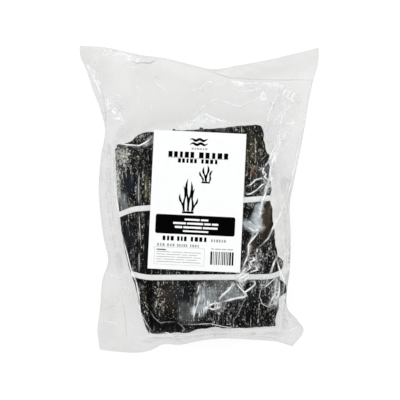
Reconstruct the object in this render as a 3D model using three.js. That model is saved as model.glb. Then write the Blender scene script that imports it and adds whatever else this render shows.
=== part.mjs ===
// A sealed clear film bag packed with a strapped bundle of dried kelp, lying on its back with
// its paper label up. Millimetres, +Z up, +Y towards the bag's empty flap, +X to the right as
// seen from above. The origin is the middle of the bag's plan, on the surface that it lies on.
//
// The bag is one solid: the outer form of film and kelp together. Its upper and lower faces are
// two sheets over the same plan, welded round the edge. The label is a thin curved sheet on it.
import * as THREE from "three";

// ---- Driving sizes ----
const BUNDLE_HEIGHT = 88; // kelp and film, from the table to the middle of the bag's upper face
const SEAM_HEIGHT = 38; // where the film's upper and lower faces part, beside the bundle
const DOME = 3.2; // how far the upper face falls from its middle to the bundle's edge
const FILM_EDGE = 1.2; // the least thickness of the solid, at the welded edge and in the flap

const LABEL_WIDTH = 101.6; // a 4 x 6 inch paper label
const LABEL_LENGTH = 152.4;
const LABEL_THICKNESS = 0.35;
const LABEL_GAP = 0.3; // between the label's back and the bag's upper face
const LABEL_CENTRE = new THREE.Vector2(-2.5, -1.5);
const LABEL_TURN = THREE.MathUtils.degToRad(-2.7);
const LABEL_MARGIN = 5; // round the label, where the film is still held smooth

const STRAP_DIP = 1.6; // how far the two straps draw the kelp in
const STRAP_REACH = 11; // half the width of that dip
const STRAPS = [
  { from: new THREE.Vector2(-92, -12), to: new THREE.Vector2(88, 3) },
  { from: new THREE.Vector2(-78, -85.5), to: new THREE.Vector2(94, -84.5) },
];

// How the film falls from the bundle to the bag's edge: 1 is even, and more is hollower.
const FILM_FALL = 1.35;
const CORNER_EASE = 3; // how sharply it turns where two edges are about as near: more is sharper

const CRUMPLE_CELL = 21; // size of the film's flat facets
const CRUMPLE_HEIGHT = 2.6;
const CRUMPLE_ON_KELP = 0.35; // how much of that height is left where the film lies on the kelp
const CRUMPLE_SEED = 7;

// A curve through points of [x, y, z]. Centripetal curves keep close to their points.
const smooth = (points) =>
  new THREE.CatmullRomCurve3(points.map((p) => new THREE.Vector3(...p)), false, "centripetal");

// The bundle's plan, as four sides. Its sheets lean, so that no two sides are parallel.
const onSeam = (points) => smooth(points.map(([x, y]) => [x, y, SEAM_HEIGHT]));
const BUNDLE_FOOT = onSeam([
  [-54, -146],
  [12, -144],
  [86, -139],
]);
const BUNDLE_HEAD = onSeam([
  [-93, 62],
  [-48, 76],
  [72, 80],
]);
const BUNDLE_LEFT = onSeam([
  [-54, -146],
  [-74, -84],
  [-88, -17],
  [-93, 62],
]);
const BUNDLE_RIGHT = onSeam([
  [86, -139],
  [93, -92],
  [88, -20],
  [72, 80],
]);

// The bag's edge, where its two film faces meet. Each point also says how high the edge stands.
const BAG_LEFT = smooth([
  [-115, -173, 20],
  [-117, -150, 27],
  [-113.5, -125, 34],
  [-111, -92, 30],
  [-103.5, -69, 41],
  [-109, -45, 34],
  [-113, -12, 38],
  [-115, 16, 31],
  [-112, 50, 37],
  [-108, 80, 29],
  [-114, 105, 31],
  [-123, 127, 20],
  [-131, 151, 18],
  [-137.5, 177, 27],
]);
const BAG_RIGHT = smooth([
  [108, -170, 14],
  [120, -151, 24],
  [112, -137, 36],
  [101, -124, 31],
  [100, -103, 38],
  [103.5, -80, 32],
  [104, -40, 39],
  [103.5, -5, 33],
  [108, 22, 40],
  [115, 54, 32],
  [120.5, 84, 35],
  [125.5, 110, 23],
  [131, 137, 25],
  [137.5, 158, 17],
  [137.5, 175, 24],
]);
const BAG_TOP = smooth([
  [-137.5, 177, 27],
  [-108, 176.5, 15],
  [-83, 172, 7],
  [-64, 167, 17],
  [-42, 165, 11],
  [-12, 157, 18],
  [16, 150, 27],
  [44, 155, 20],
  [78, 162.5, 8],
  [110, 169.5, 12],
  [137.5, 175, 24],
]);
const BAG_BOTTOM = smooth([
  [-115, -173, 20],
  [-97, -176, 14],
  [-73, -177.5, 12],
  [-55, -173, 22],
  [-42, -167, 19],
  [-22, -166.5, 27],
  [0, -162.5, 23],
  [24, -159, 29],
  [58, -161, 22],
  [88, -163, 25],
  [108, -170, 14],
]);

// Long folds that pull across the film: from, to, how high the ridge stands, and half its width.
const FOLDS = [
  { name: "left corner to flap", line: [-90, 62, -134, 172], rise: 9, reach: 17 },
  { name: "right corner to flap", line: [74, 80, 132, 168], rise: 9, reach: 17 },
  { name: "flap, left", line: [-44, 78, -80, 168], rise: 5, reach: 12 },
  { name: "flap, middle", line: [10, 81, 16, 146], rise: 7, reach: 15 },
  { name: "flap, across", line: [-12, 98, 36, 122], rise: 4, reach: 9 },
  { name: "flap, right", line: [44, 116, 100, 138], rise: 5, reach: 11 },
  { name: "shoulder, right", line: [56, 82, 96, 128], rise: 5, reach: 10 },
  { name: "left ear", line: [-60, -140, -112, -168], rise: 8, reach: 14 },
  { name: "right ear", line: [84, -134, 112, -160], rise: 8, reach: 13 },
  { name: "foot", line: [-30, -146, -24, -163], rise: 4, reach: 10 },
  { name: "foot, right", line: [40, -143, 46, -158], rise: 4, reach: 10 },
  { name: "left wing, upper", line: [-92, 34, -112, 44], rise: 6, reach: 11 },
  { name: "left wing, lower", line: [-82, -52, -106, -62], rise: 6, reach: 11 },
  { name: "right wing, upper", line: [80, 34, 110, 30], rise: 6, reach: 11 },
  { name: "right wing, lower", line: [90, -56, 103, -62], rise: 5, reach: 10 },
  { name: "long pull on the kelp", line: [97, 52, 53, -56], rise: 2.4, reach: 8 },
  { name: "label corner to ear", line: [50, -84, 88, -126], rise: 2.2, reach: 8 },
].map(({ line: [x0, y0, x1, y1], rise, reach }) => ({
  from: new THREE.Vector2(x0, y0),
  to: new THREE.Vector2(x1, y1),
  rise,
  reach,
}));

// ---- Plan of the mesh: three parts each way, of which the middle one is the bundle ----
// starts says where the bundle's lines meet the bag's edges, as a share of their length.
const ACROSS = { starts: [0, 0.2, 0.76, 1], cells: [9, 18, 9] };
const ALONG = { starts: [0, 0.13, 0.7, 1], cells: [8, 26, 17] };
const LABEL_CELLS = { across: 12, along: 18 };
const SIDE_STEPS = 120; // points along each side, where distances are measured

// ---- Small tools ----
const { clamp, lerp, smoothstep } = THREE.MathUtils;

// The grid's lines one way: each says which part it is in, and how far through it.
function gridLines({ cells }) {
  const lines = cells.flatMap((count, part) =>
    Array.from({ length: count }, (_, i) => ({ part, share: i / count })),
  );
  return [...lines, { part: cells.length - 1, share: 1 }];
}

// The nearest point of a segment: how far off it is, and how far along the segment it lies.
function nearestOnSegment(p, from, to) {
  const along = to.clone().sub(from);
  const share = clamp(p.clone().sub(from).dot(along) / along.lengthSq(), 0, 1);
  return { distance: p.distanceTo(from.clone().addScaledVector(along, share)), share };
}

// A repeatable number from 0 to 1 for each knot of the crumple lattice.
function knotHeight(i, j) {
  const n = Math.sin(i * 127.1 + j * 311.7 + CRUMPLE_SEED * 74.7) * 43758.5453;
  return n - Math.floor(n);
}

// Crumpled film: a lattice of triangles whose knots stand at random heights, from -1 to 1.
function crumple(x, y) {
  const a = x / CRUMPLE_CELL + (0.5 * y) / CRUMPLE_CELL;
  const b = y / CRUMPLE_CELL;
  const [i, j] = [Math.floor(a), Math.floor(b)];
  const [fa, fb] = [a - i, b - j];
  const height =
    fa + fb < 1
      ? knotHeight(i, j) * (1 - fa - fb) + knotHeight(i + 1, j) * fa + knotHeight(i, j + 1) * fb
      : knotHeight(i + 1, j + 1) * (fa + fb - 1) +
        knotHeight(i + 1, j) * (1 - fb) +
        knotHeight(i, j + 1) * (1 - fa);
  return 2 * height - 1;
}

// 0 where the film is held smooth under the label, and 1 clear of it.
function clearOfLabel(p) {
  const q = p.clone().sub(LABEL_CENTRE).rotateAround(new THREE.Vector2(), -LABEL_TURN);
  const past = Math.max(Math.abs(q.x) - LABEL_WIDTH / 2, Math.abs(q.y) - LABEL_LENGTH / 2);
  return smoothstep(past, LABEL_MARGIN, LABEL_MARGIN + 12);
}

function foldHeight(p) {
  return FOLDS.reduce((height, { from, to, rise, reach }) => {
    const { distance, share } = nearestOnSegment(p, from, to);
    const ridge = Math.max(0, 1 - distance / reach);
    return Math.max(height, rise * ridge * Math.sin(Math.PI * lerp(0.12, 0.88, share)));
  }, 0);
}

// The domed face that the kelp gives the film above it.
function roofHeight(p) {
  const dome = DOME * ((p.x / 92) ** 2 + ((p.y + 32) / 118) ** 2) * 0.5;
  const dip = STRAPS.reduce((depth, { from, to }) => {
    const near = 1 - nearestOnSegment(p, from, to).distance / STRAP_REACH;
    return Math.max(depth, STRAP_DIP * smoothstep(near, 0, 1));
  }, 0);
  return BUNDLE_HEIGHT - dome - dip * clearOfLabel(p);
}

// ---- The bag ----
// The lines that bound the grid's parts. ROWS run from left to right and COLUMNS from bottom to
// top. Inside the bundle's span a line is the bundle's side, and past it a straight stretch out
// to the bag's edge.
const straight = (from, to) => new THREE.LineCurve3(from, to);
const stretch = (curve, from, to) => ({ getPoint: (share) => curve.getPoint(lerp(from, to, share)) });
const parted = (curve, { starts }) =>
  starts.slice(1).map((end, part) => stretch(curve, starts[part], end));
const crossing = (side, startEdge, endEdge, share) => [
  straight(startEdge.getPoint(share), side.getPoint(0)),
  side,
  straight(side.getPoint(1), endEdge.getPoint(share)),
];
const ROWS = [
  parted(BAG_BOTTOM, ACROSS),
  crossing(BUNDLE_FOOT, BAG_LEFT, BAG_RIGHT, ALONG.starts[1]),
  crossing(BUNDLE_HEAD, BAG_LEFT, BAG_RIGHT, ALONG.starts[2]),
  parted(BAG_TOP, ACROSS),
];
const COLUMNS = [
  parted(BAG_LEFT, ALONG),
  crossing(BUNDLE_LEFT, BAG_BOTTOM, BAG_TOP, ACROSS.starts[1]),
  crossing(BUNDLE_RIGHT, BAG_BOTTOM, BAG_TOP, ACROSS.starts[2]),
  parted(BAG_RIGHT, ALONG),
];

// A Coons patch in each of the nine parts: it gives a grid point's place in plan, and the height
// that the seam would have there.
function plan(column, row) {
  const [a, b] = [column.share, row.share];
  const [low, high] = [ROWS[row.part][column.part], ROWS[row.part + 1][column.part]];
  const [left, right] = [COLUMNS[column.part][row.part], COLUMNS[column.part + 1][row.part]];
  return new THREE.Vector3()
    .addScaledVector(low.getPoint(a), 1 - b)
    .addScaledVector(high.getPoint(a), b)
    .addScaledVector(left.getPoint(b), 1 - a)
    .addScaledVector(right.getPoint(b), a)
    .addScaledVector(low.getPoint(0), -(1 - a) * (1 - b))
    .addScaledVector(low.getPoint(1), -a * (1 - b))
    .addScaledVector(high.getPoint(0), -(1 - a) * b)
    .addScaledVector(high.getPoint(1), -a * b);
}

// The sides as points, to measure from.
const asPoints = (curve) => curve.getPoints(SIDE_STEPS);
const BAG_SIDES = [BAG_TOP, BAG_RIGHT, BAG_BOTTOM, BAG_LEFT].map(asPoints);
const BUNDLE_SIDES = [BUNDLE_HEAD, BUNDLE_RIGHT, BUNDLE_FOOT, BUNDLE_LEFT].map(asPoints);
const distanceTo = (side, p) => Math.min(...side.map((q) => Math.hypot(p.x - q.x, p.y - q.y)));

// The distance to the nearest of the bag's sides, eased where two are about as near.
const distanceToEdge = (p) =>
  BAG_SIDES.reduce((sum, side) => sum + distanceTo(side, p) ** -CORNER_EASE, 0) ** (-1 / CORNER_EASE);

// 0 on the bag's edge, 1 on the bundle.
function nearBundle(p, column, row) {
  if (column.part === 1 && row.part === 1) return 1;
  const toEdge = distanceToEdge(p);
  return toEdge / (toEdge + Math.min(...BUNDLE_SIDES.map((side) => distanceTo(side, p))));
}

// The upper and lower face's height over one point of the plan.
function filmHeights(point, near) {
  const p = new THREE.Vector2(point.x, point.y);
  const free = clearOfLabel(p) * smoothstep(near, 0, 0.2);
  const onKelp = near > 0.995 ? CRUMPLE_ON_KELP : 1;
  const facets = CRUMPLE_HEIGHT * crumple(p.x, p.y) * free * onKelp;
  const folds = foldHeight(p) * free;
  const share = smoothstep(near ** FILM_FALL, 0, 1);
  const upper = lerp(point.z, roofHeight(p), share) + facets + folds;
  const lower = Math.max(0, point.z - FILM_EDGE) * (1 - share);
  return { upper: Math.max(upper, lower + FILM_EDGE), lower };
}

function bagGeometry() {
  const across = gridLines(ACROSS);
  const along = gridLines(ALONG);
  const upper = [];
  const lower = [];
  for (const row of along) {
    for (const column of across) {
      const point = plan(column, row);
      const heights = filmHeights(point, nearBundle(point, column, row));
      upper.push(point.x, point.y, heights.upper);
      lower.push(point.x, point.y, heights.lower);
    }
  }
  return twoFacedSheet(upper, lower, across.length, along.length);
}

// Closes two sheets of rows x columns points into one solid, with a narrow wall round them.
function twoFacedSheet(upper, lower, columns, rows) {
  const count = columns * rows;
  const triangles = [];
  const at = (column, row) => row * columns + column;
  for (let row = 0; row < rows - 1; row++) {
    for (let column = 0; column < columns - 1; column++) {
      const [a, b] = [at(column, row), at(column + 1, row)];
      const [c, d] = [at(column + 1, row + 1), at(column, row + 1)];
      triangles.push(a, b, c, a, c, d);
      triangles.push(count + a, count + c, count + b, count + a, count + d, count + c);
    }
  }
  const rim = [];
  for (let column = 0; column < columns - 1; column++) rim.push(at(column, 0));
  for (let row = 0; row < rows - 1; row++) rim.push(at(columns - 1, row));
  for (let column = columns - 1; column > 0; column--) rim.push(at(column, rows - 1));
  for (let row = rows - 1; row > 0; row--) rim.push(at(0, row));
  rim.forEach((a, i) => {
    const b = rim[(i + 1) % rim.length];
    triangles.push(a, count + a, count + b, a, count + b, b);
  });
  const geometry = new THREE.BufferGeometry();
  const positions = new Float32Array([...upper, ...lower]);
  geometry.setAttribute("position", new THREE.BufferAttribute(positions, 3));
  geometry.setIndex(triangles);
  geometry.computeVertexNormals();
  return geometry;
}

// ---- The label ----
function labelGeometry() {
  const back = [];
  const face = [];
  for (let row = 0; row <= LABEL_CELLS.along; row++) {
    for (let column = 0; column <= LABEL_CELLS.across; column++) {
      const p = new THREE.Vector2(
        (column / LABEL_CELLS.across - 0.5) * LABEL_WIDTH,
        (row / LABEL_CELLS.along - 0.5) * LABEL_LENGTH,
      )
        .rotateAround(new THREE.Vector2(), LABEL_TURN)
        .add(LABEL_CENTRE);
      const height = roofHeight(p) + LABEL_GAP;
      back.push(p.x, p.y, height);
      face.push(p.x, p.y, height + LABEL_THICKNESS);
    }
  }
  return twoFacedSheet(face, back, LABEL_CELLS.across + 1, LABEL_CELLS.along + 1);
}

// ---- The object ----
const film = new THREE.MeshStandardMaterial({
  color: 0xdcdedb,
  roughness: 0.18,
  metalness: 0,
  transparent: true,
  opacity: 0.45,
});
const paper = new THREE.MeshStandardMaterial({ color: 0xf7f7f5, roughness: 0.55, metalness: 0 });

const bag = new THREE.Mesh(bagGeometry(), film);
bag.name = "bag";

const label = new THREE.Mesh(labelGeometry(), paper);
label.name = "label";

const pack = new THREE.Group();
pack.add(bag, label);

export default pack;
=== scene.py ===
"""A sealed clear film bag with a strapped bundle of dried kelp, on its back with its label up."""
import math
from functools import reduce

import bpy
import numpy as np
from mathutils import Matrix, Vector, noise
from mathutils.bvhtree import BVHTree
from mathutils.geometry import convex_hull_2d, delaunay_2d_cdt, intersect_line_line_2d


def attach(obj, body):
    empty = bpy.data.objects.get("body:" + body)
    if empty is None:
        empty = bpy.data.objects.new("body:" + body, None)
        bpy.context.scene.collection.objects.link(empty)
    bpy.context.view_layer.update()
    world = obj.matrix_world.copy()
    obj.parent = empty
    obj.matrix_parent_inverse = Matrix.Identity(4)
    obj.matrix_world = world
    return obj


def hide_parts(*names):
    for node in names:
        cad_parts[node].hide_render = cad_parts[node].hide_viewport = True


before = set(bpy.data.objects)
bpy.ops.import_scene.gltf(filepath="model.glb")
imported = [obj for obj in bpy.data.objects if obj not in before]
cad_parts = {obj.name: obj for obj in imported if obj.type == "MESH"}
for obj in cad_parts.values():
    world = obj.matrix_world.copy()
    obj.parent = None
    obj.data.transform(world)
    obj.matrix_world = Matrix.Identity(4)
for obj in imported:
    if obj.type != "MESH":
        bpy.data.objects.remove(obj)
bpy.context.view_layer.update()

# Lengths are millimetres in the frame's axes, and become metres where a mesh is made.
MM = 0.001

# ---- The bag's driving sizes ----
SEAM_HEIGHT = 38.0  # where the two films would part, beside the bundle
SEAM_RISE = 1.4  # how that height is reached from the bag's edge: 1 is even, and more is later
BUNDLE_HEIGHT = 88.0  # kelp and film, from the table to the middle of the upper film
DOME = 3.2  # how far the upper film falls from the dome's middle to its corners
DOME_MIDDLE, DOME_REACH = (0, -32), (92, 118)
FILM_FALL = 1.35  # how the film falls to the bag's edge: 1 is even, and more is hollower
CORNER_EASE = 3  # how sharply it turns where two edges are about as near: more is sharper
SEAM_PULL, SEAM_SOFTNESS = 3, 1.5  # how much more the nearest part of the edge counts, and how evenly

STRAP_WIDTH = 6.0
STRAP_THICKNESS = 0.7
STRAP_DIP = 1.6  # how far the straps draw the kelp in
STRAP_REACH = 11.0  # half the width of that dip
STRAP_LINES = (((-92, -12), (88, 3)), ((-78, -85.5), (94, -84.5)))
STRAP_BENDS = ((-6.5, 0), (5, 5))  # how far each turns aside as it goes down the bundle's two sides
BEND_LENGTHS = (24, 20)  # and over what length, at its start and at its end
STRAP_SLACK = 0.15  # between the kelp and the straps
STRAP_GRIP = 6  # how far from its line a strap still lies on the kelp
STRAP_STOPS = 160  # how often its section is repeated round the bundle
STRAP_FOOT = 0.35  # its least height
STRAP_ROOM = 0.5  # the least between its outer face and the film

LABEL_SIZE = (101.6, 152.4)
LABEL_CENTRE = (-2.5, -1.5)
LABEL_TURN = math.radians(-2.7)
LABEL_MARGIN = 5.0  # round the label, where the film is still held smooth
LABEL_EASE = 12.0  # past that, over which it turns as uneven as elsewhere
LABEL_EDGE_STEP, LABEL_STEP = 4.0, 6.0  # of the label's and its print's meshes, along edges and inside
LABEL_GAP = 0.3
LABEL_THICKNESS = 0.35

BUNDLE_SIDES = (
    ((-54, -146), (12, -144), (86, -139)),
    ((86, -139), (93, -92), (88, -20), (72, 80)),
    ((72, 80), (-48, 76), (-93, 62)),
    ((-93, 62), (-88, -17), (-74, -84), (-54, -146)),
)
# The bag's edge, where its two films meet: x, y and height.
BAG_SIDES = (
    ((-115, -173, 20), (-97, -176, 14), (-73, -177.5, 12), (-55, -173, 22), (-42, -167, 19),
     (-22, -166.5, 27), (0, -162.5, 23), (24, -159, 29), (58, -161, 22), (88, -163, 25), (108, -170, 14)),
    ((108, -170, 14), (120, -151, 24), (112, -137, 36), (101, -124, 31), (100, -103, 38), (103.5, -80, 32),
     (104, -40, 39), (103.5, -5, 33), (108, 22, 40), (115, 54, 32), (120.5, 84, 35), (125.5, 110, 23),
     (131, 137, 25), (137.5, 158, 17), (137.5, 175, 24)),
    ((137.5, 175, 24), (110, 169.5, 12), (78, 162.5, 8), (44, 155, 20), (16, 150, 27), (-12, 157, 18),
     (-42, 165, 11), (-64, 167, 17), (-83, 172, 7), (-108, 176.5, 15), (-137.5, 177, 27)),
    ((-137.5, 177, 27), (-137, 165.5, 24), (-131, 151, 18), (-123, 127, 20), (-114, 105, 31),
     (-108, 80, 29), (-112, 50, 37), (-115, 16, 31), (-113, -12, 38), (-109, -45, 34), (-103.5, -69, 41),
     (-111, -92, 30), (-113.5, -125, 34), (-117, -150, 27), (-115, -173, 20)),
)

# Folds pull the film into long blunt ridges: from, to, how high the ridge stands, and its reach.
FOLDS = (
    ((-90, 62), (-134, 172), 9, 17), ((74, 80), (132, 168), 9, 17), ((-44, 78), (-80, 168), 5, 12),
    ((10, 81), (16, 146), 7, 15), ((-12, 98), (36, 122), 4, 9), ((44, 116), (100, 138), 5, 11),
    ((56, 82), (96, 128), 5, 10), ((-60, -140), (-112, -168), 8, 14), ((84, -134), (112, -160), 8, 13),
    ((-30, -146), (-24, -163), 4, 10), ((40, -143), (46, -158), 4, 10), ((-92, 34), (-112, 44), 6, 11),
    ((-82, -52), (-106, -62), 6, 11), ((80, 34), (110, 30), 6, 11), ((90, -56), (103, -62), 5, 10),
    ((97, 52), (53, -56), 2.4, 8), ((50, -84), (88, -126), 2.2, 8),
)

# Creases are sharp narrow ridges that catch the light, with a painted highlight along them as well. Each kind
# has a height, half a width, and the whiteness of that painted highlight, which is below 0 for a dark one of
# painted shade.
CREASE_KINDS = {
    "bold": (1.5, 1.2, 1.0), "clear": (1.1, 1.0, 1.0), "fine": (0.8, 0.8, 0.95), "faint": (0.6, 0.65, 0.55),
    "hair": (0.5, 0.55, 0.3), "dark": (0.9, 0.95, -0.8), "dim": (0.8, 1.1, -0.35),
}
# Each crease has a kind and a path. Some have a painted sheen beside them too: its reach on the left of the
# path, or on the right where that is below 0, and its strength.
CREASES = (
    # the two long pulls on the right, and the loops between them
    ("bold", ((122, 100), (118.6, 85), (115, 70.5), (111.7, 55), (108.3, 39), (104.3, 21), (98, -3),
              (84, -24), (76, -42), (69, -49), (64, -53)), (5, 0.12)),
    ("bold", ((95, 69), (84, 52), (78, 34), (77, 23), (72, 5), (69, -2), (66, -17), (67, -31)), (-9, 0.2)),
    ("clear", ((67, -31), (63, -38), (54, -49), (54, -60), (51, -67), (44, -83)), (-5, 0.15)),
    ("clear", ((48.2, 16.8), (52.8, 15.2), (56.8, 16.8), (61.7, 21.8), (67.8, 23.6), (70.6, 22.9),
               (73.3, 18.1))),
    ("clear", ((48.2, 9.1), (52.8, 6), (56.8, 6.8), (63.2, 10.8), (68.7, 16.3), (73.3, 18.1))),
    ("clear", ((46, -23), (55, -24), (61, -29), (64, -33), (60, -34), (53, -30), (47, -27))),
    ("clear", ((75, 24), (77, 15), (72, 10), (74, 18))),
    ("clear", ((86.6, 63.6), (92.1, 64.7), (92.7, 62.5))),
    ("clear", ((83.8, 59.5), (79.6, 51.3), (75.6, 41.6), (71.4, 36.1))),
    ("fine", ((89.3, 60.8), (85.1, 54), (82, 47.1), (79, 40.3))),
    ("clear", ((70.1, 32), (73.4, 27.8), (71.4, 25.1), (75, 22.3))),
    ("fine", ((71.4, 36), (69.5, 31), (71, 27))),
    # the burst by the label's corner, and the facet below it
    ("bold", ((38, -92), (32, -99), (25, -105), (22, -109), (24, -112))),
    ("bold", ((24, -112), (34, -110), (40, -108), (49, -107), (52, -105), (49, -102), (54, -99), (61, -93),
              (61, -90), (54, -89))),
    ("bold", ((43, -88), (45, -93), (48, -97))), ("bold", ((42, -86), (47, -80), (52, -74))),
    ("bold", ((44, -86), (50, -84), (55, -80))), ("clear", ((49, -90), (52, -86), (56, -85))),
    ("clear", ((58, -62), (61, -66), (56, -68), (58, -73))),
    ("clear", ((61, -71), (64, -77), (60, -78), (55, -80))), ("clear", ((54, -69), (56, -75), (52, -78))),
    ("bold", ((64, -53), (63, -58))),
    ("bold", ((3, -120.5), (10, -116.8), (15, -114), (20.5, -113.2), (24, -115.5))),
    ("clear", ((24, -115.5), (21.6, -118.8), (16, -120.4), (10, -118.8), (5, -121))),
    ("fine", ((0, -103), (-1, -112), (-4, -120), (-7, -132))), ("clear", ((-3, -104), (-1, -99), (0, -93))),
    ("hair", ((54, -105), (48, -113), (43, -125), (36, -134))),
    ("clear", ((40, -91), (46, -98), (52, -104))),
    # the pulls past the lower strap
    ("faint", ((72, -91), (67, -100), (66, -106), (69, -114), (74, -117), (82, -120))),
    ("fine", ((85, -85), (78, -91), (71, -97))), ("fine", ((85, -62), (81, -74), (79, -81))),
    ("fine", ((83, -66), (77, -82))),
    ("clear", ((83, -58), (88, -76), (96, -96), (97, -117), (90, -134), (90, -153)), (3, 0.3)),
    ("clear", ((85, -86), (83, -104), (77, -114))), ("clear", ((88, -87), (88, -100), (84, -116))),
    ("fine", ((-86, -33), (-80, -56), (-75, -77), (-69, -91), (-66, -108), (-65, -124), (-56, -139),
              (-52, -144)), (-4, 0.2)),
    # along the bundle's foot
    ("hair", ((-54, -122), (-49, -130), (-43, -135), (-34, -134), (-27, -134))),
    ("hair", ((-24, -134), (-16, -142), (-18, -146))),
    ("faint", ((-18, -137), (-8, -137), (12, -136), (25, -139), (39, -141), (56, -143), (84, -141))),
    ("clear", ((-45, -147), (-36, -146), (-26, -150), (-7, -153), (6, -149), (20, -146)), (-4, 0.3)),
    ("faint", ((-66, 30), (-67, 8), (-66, -6))), ("faint", ((-66, -16), (-65, -44))),
    ("faint", ((-66, -58), (-66, -80))),
    # the flap
    ("dim", ((-52, 166), (-28, 160), (-4, 153), (16, 146), (36, 140), (72, 138), (104, 137), (130, 138))),
    ("fine", ((48, 134), (73, 133), (90, 131)), (4, 0.1)),
    ("dark", ((-79, 161), (-72, 158), (-66, 159), (-57, 158), (-50, 162))),
    ("clear", ((-92, 171), (-79, 166), (-67, 162)), (-4, 0.3)), ("faint", ((-89, 155), (-63, 151))),
    ("clear", ((-112, 167), (-108, 174), (-102, 173), (-104, 168), (-112, 167))),
    ("clear", ((-134, 162), (-126, 149), (-118, 133), (-111, 118)), (-5, 0.25)),
    ("dim", ((-109, 115), (-107, 98), (-106, 76))),
    ("dim", ((-130, 158), (-123, 147), (-116, 133), (-110, 119), (-107, 106))),
    ("fine", ((-105, 114), (-103, 106), (-105, 100))),
    ("clear", ((-101, 94), (-85, 89), (-89, 95), (-93, 100)), (-4, 0.2)),
    ("fine", ((-50, 134), (-36, 123))), ("faint", ((-72, 134), (-68, 108))),
    ("faint", ((-54, 107), (-53, 96))),
    ("fine", ((-14, 124), (0, 127), (10, 136), (20, 131), (30, 136), (36, 136))),
    ("fine", ((36, 129), (46, 123), (58, 124), (69, 126), (72, 123)), (-6, 0.1)),
    ("fine", ((-12, 88), (2, 102), (17, 114), (30, 110), (44, 104), (57, 110), (67, 114), (73, 121)),
     (-8, 0.12)),
    ("clear", ((67, 113), (73, 121), (76, 113), (67, 113))), ("fine", ((67, 98), (72, 97))),
    ("bold", ((-12, 83), (-3, 89), (7, 95), (17, 89), (35, 83)), (-4, 0.2)),
    ("clear", ((74, 81), (77, 94), (85, 114), (91, 123)), (5, 0.1)),
    ("fine", ((80, 126), (84, 130), (92, 130))),
    ("clear", ((94, 116), (97, 124), (103, 123), (100, 117), (103, 111))),
    ("clear", ((108, 123), (104, 116), (106, 110))), ("fine", ((83, 85), (91, 96), (101, 105))),
    ("clear", ((90, 83), (94, 96), (99, 101))), ("clear", ((92, 88), (101, 86), (109, 89))),
    ("fine", ((86, 93), (94, 99), (107, 108))), ("clear", ((97, 76), (94, 69), (87, 65), (86, 58))),
    ("fine", ((101.5, 79), (103, 66), (96, 59), (89, 52))),
    ("clear", ((109, 123), (106.5, 116), (107.5, 110))), ("fine", ((109, 92), (103, 83))),
    ("fine", ((81.5, 87.5), (88, 93))), ("clear", ((134, 152), (127, 130), (125, 112)), (4, 0.2)),
    ("dim", ((124, 99), (120.8, 85), (117.4, 70), (114, 54), (110.5, 38))),
    # the wings and the ears
    ("fine", ((-88, -108), (-84, -100), (-80, -96), (-77, -101))),
    ("fine", ((-104, -85), (-92, -88), (-85, -89))), ("fine", ((-111, -138), (-90, -142))),
    ("dim", ((-86, -112), (-84, -127), (-82, -160))), ("fine", ((-76, -141), (-67, -141))),
    ("clear", ((-74, -166), (-67, -172))), ("fine", ((92, -151), (117, -144)), (-4, 0.15)),
    ("dim", ((106, 30), (99, -20), (97, -60), (95, -90))),
    ("fine", ((-96, 60), (-95, 30), (-91, 0), (-87, -22)), (-4, 0.15)),
    ("dim", ((-48, -153), (-20, -157), (6, -153), (30, -151), (60, -151), (86, -153))),
    ("dim", ((-64, -159), (-44, -161), (-24, -161))),
    ("dim", ((22, -154), (50, -155), (78, -158), (98, -161))),
    ("faint", ((-103, 60), (-104, 10), (-98, -40))), ("dim", ((-98, 40), (-99, 5), (-94, -30))),
    ("clear", ((-90, 61.5), (-75.6, 60.2), (-66, 59.5), (-59.1, 63), (-52.2, 68.5), (-49, 71)), (-3, 0.3)),
)
CREASE_FEET = 0.15  # a crease's height at its two ends, as a share of its height midway
CREASE_STEP = 2.5  # between the points along it
STEEP_NARROWING = 0.35  # the least that it keeps of its width where the film is steep
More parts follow.
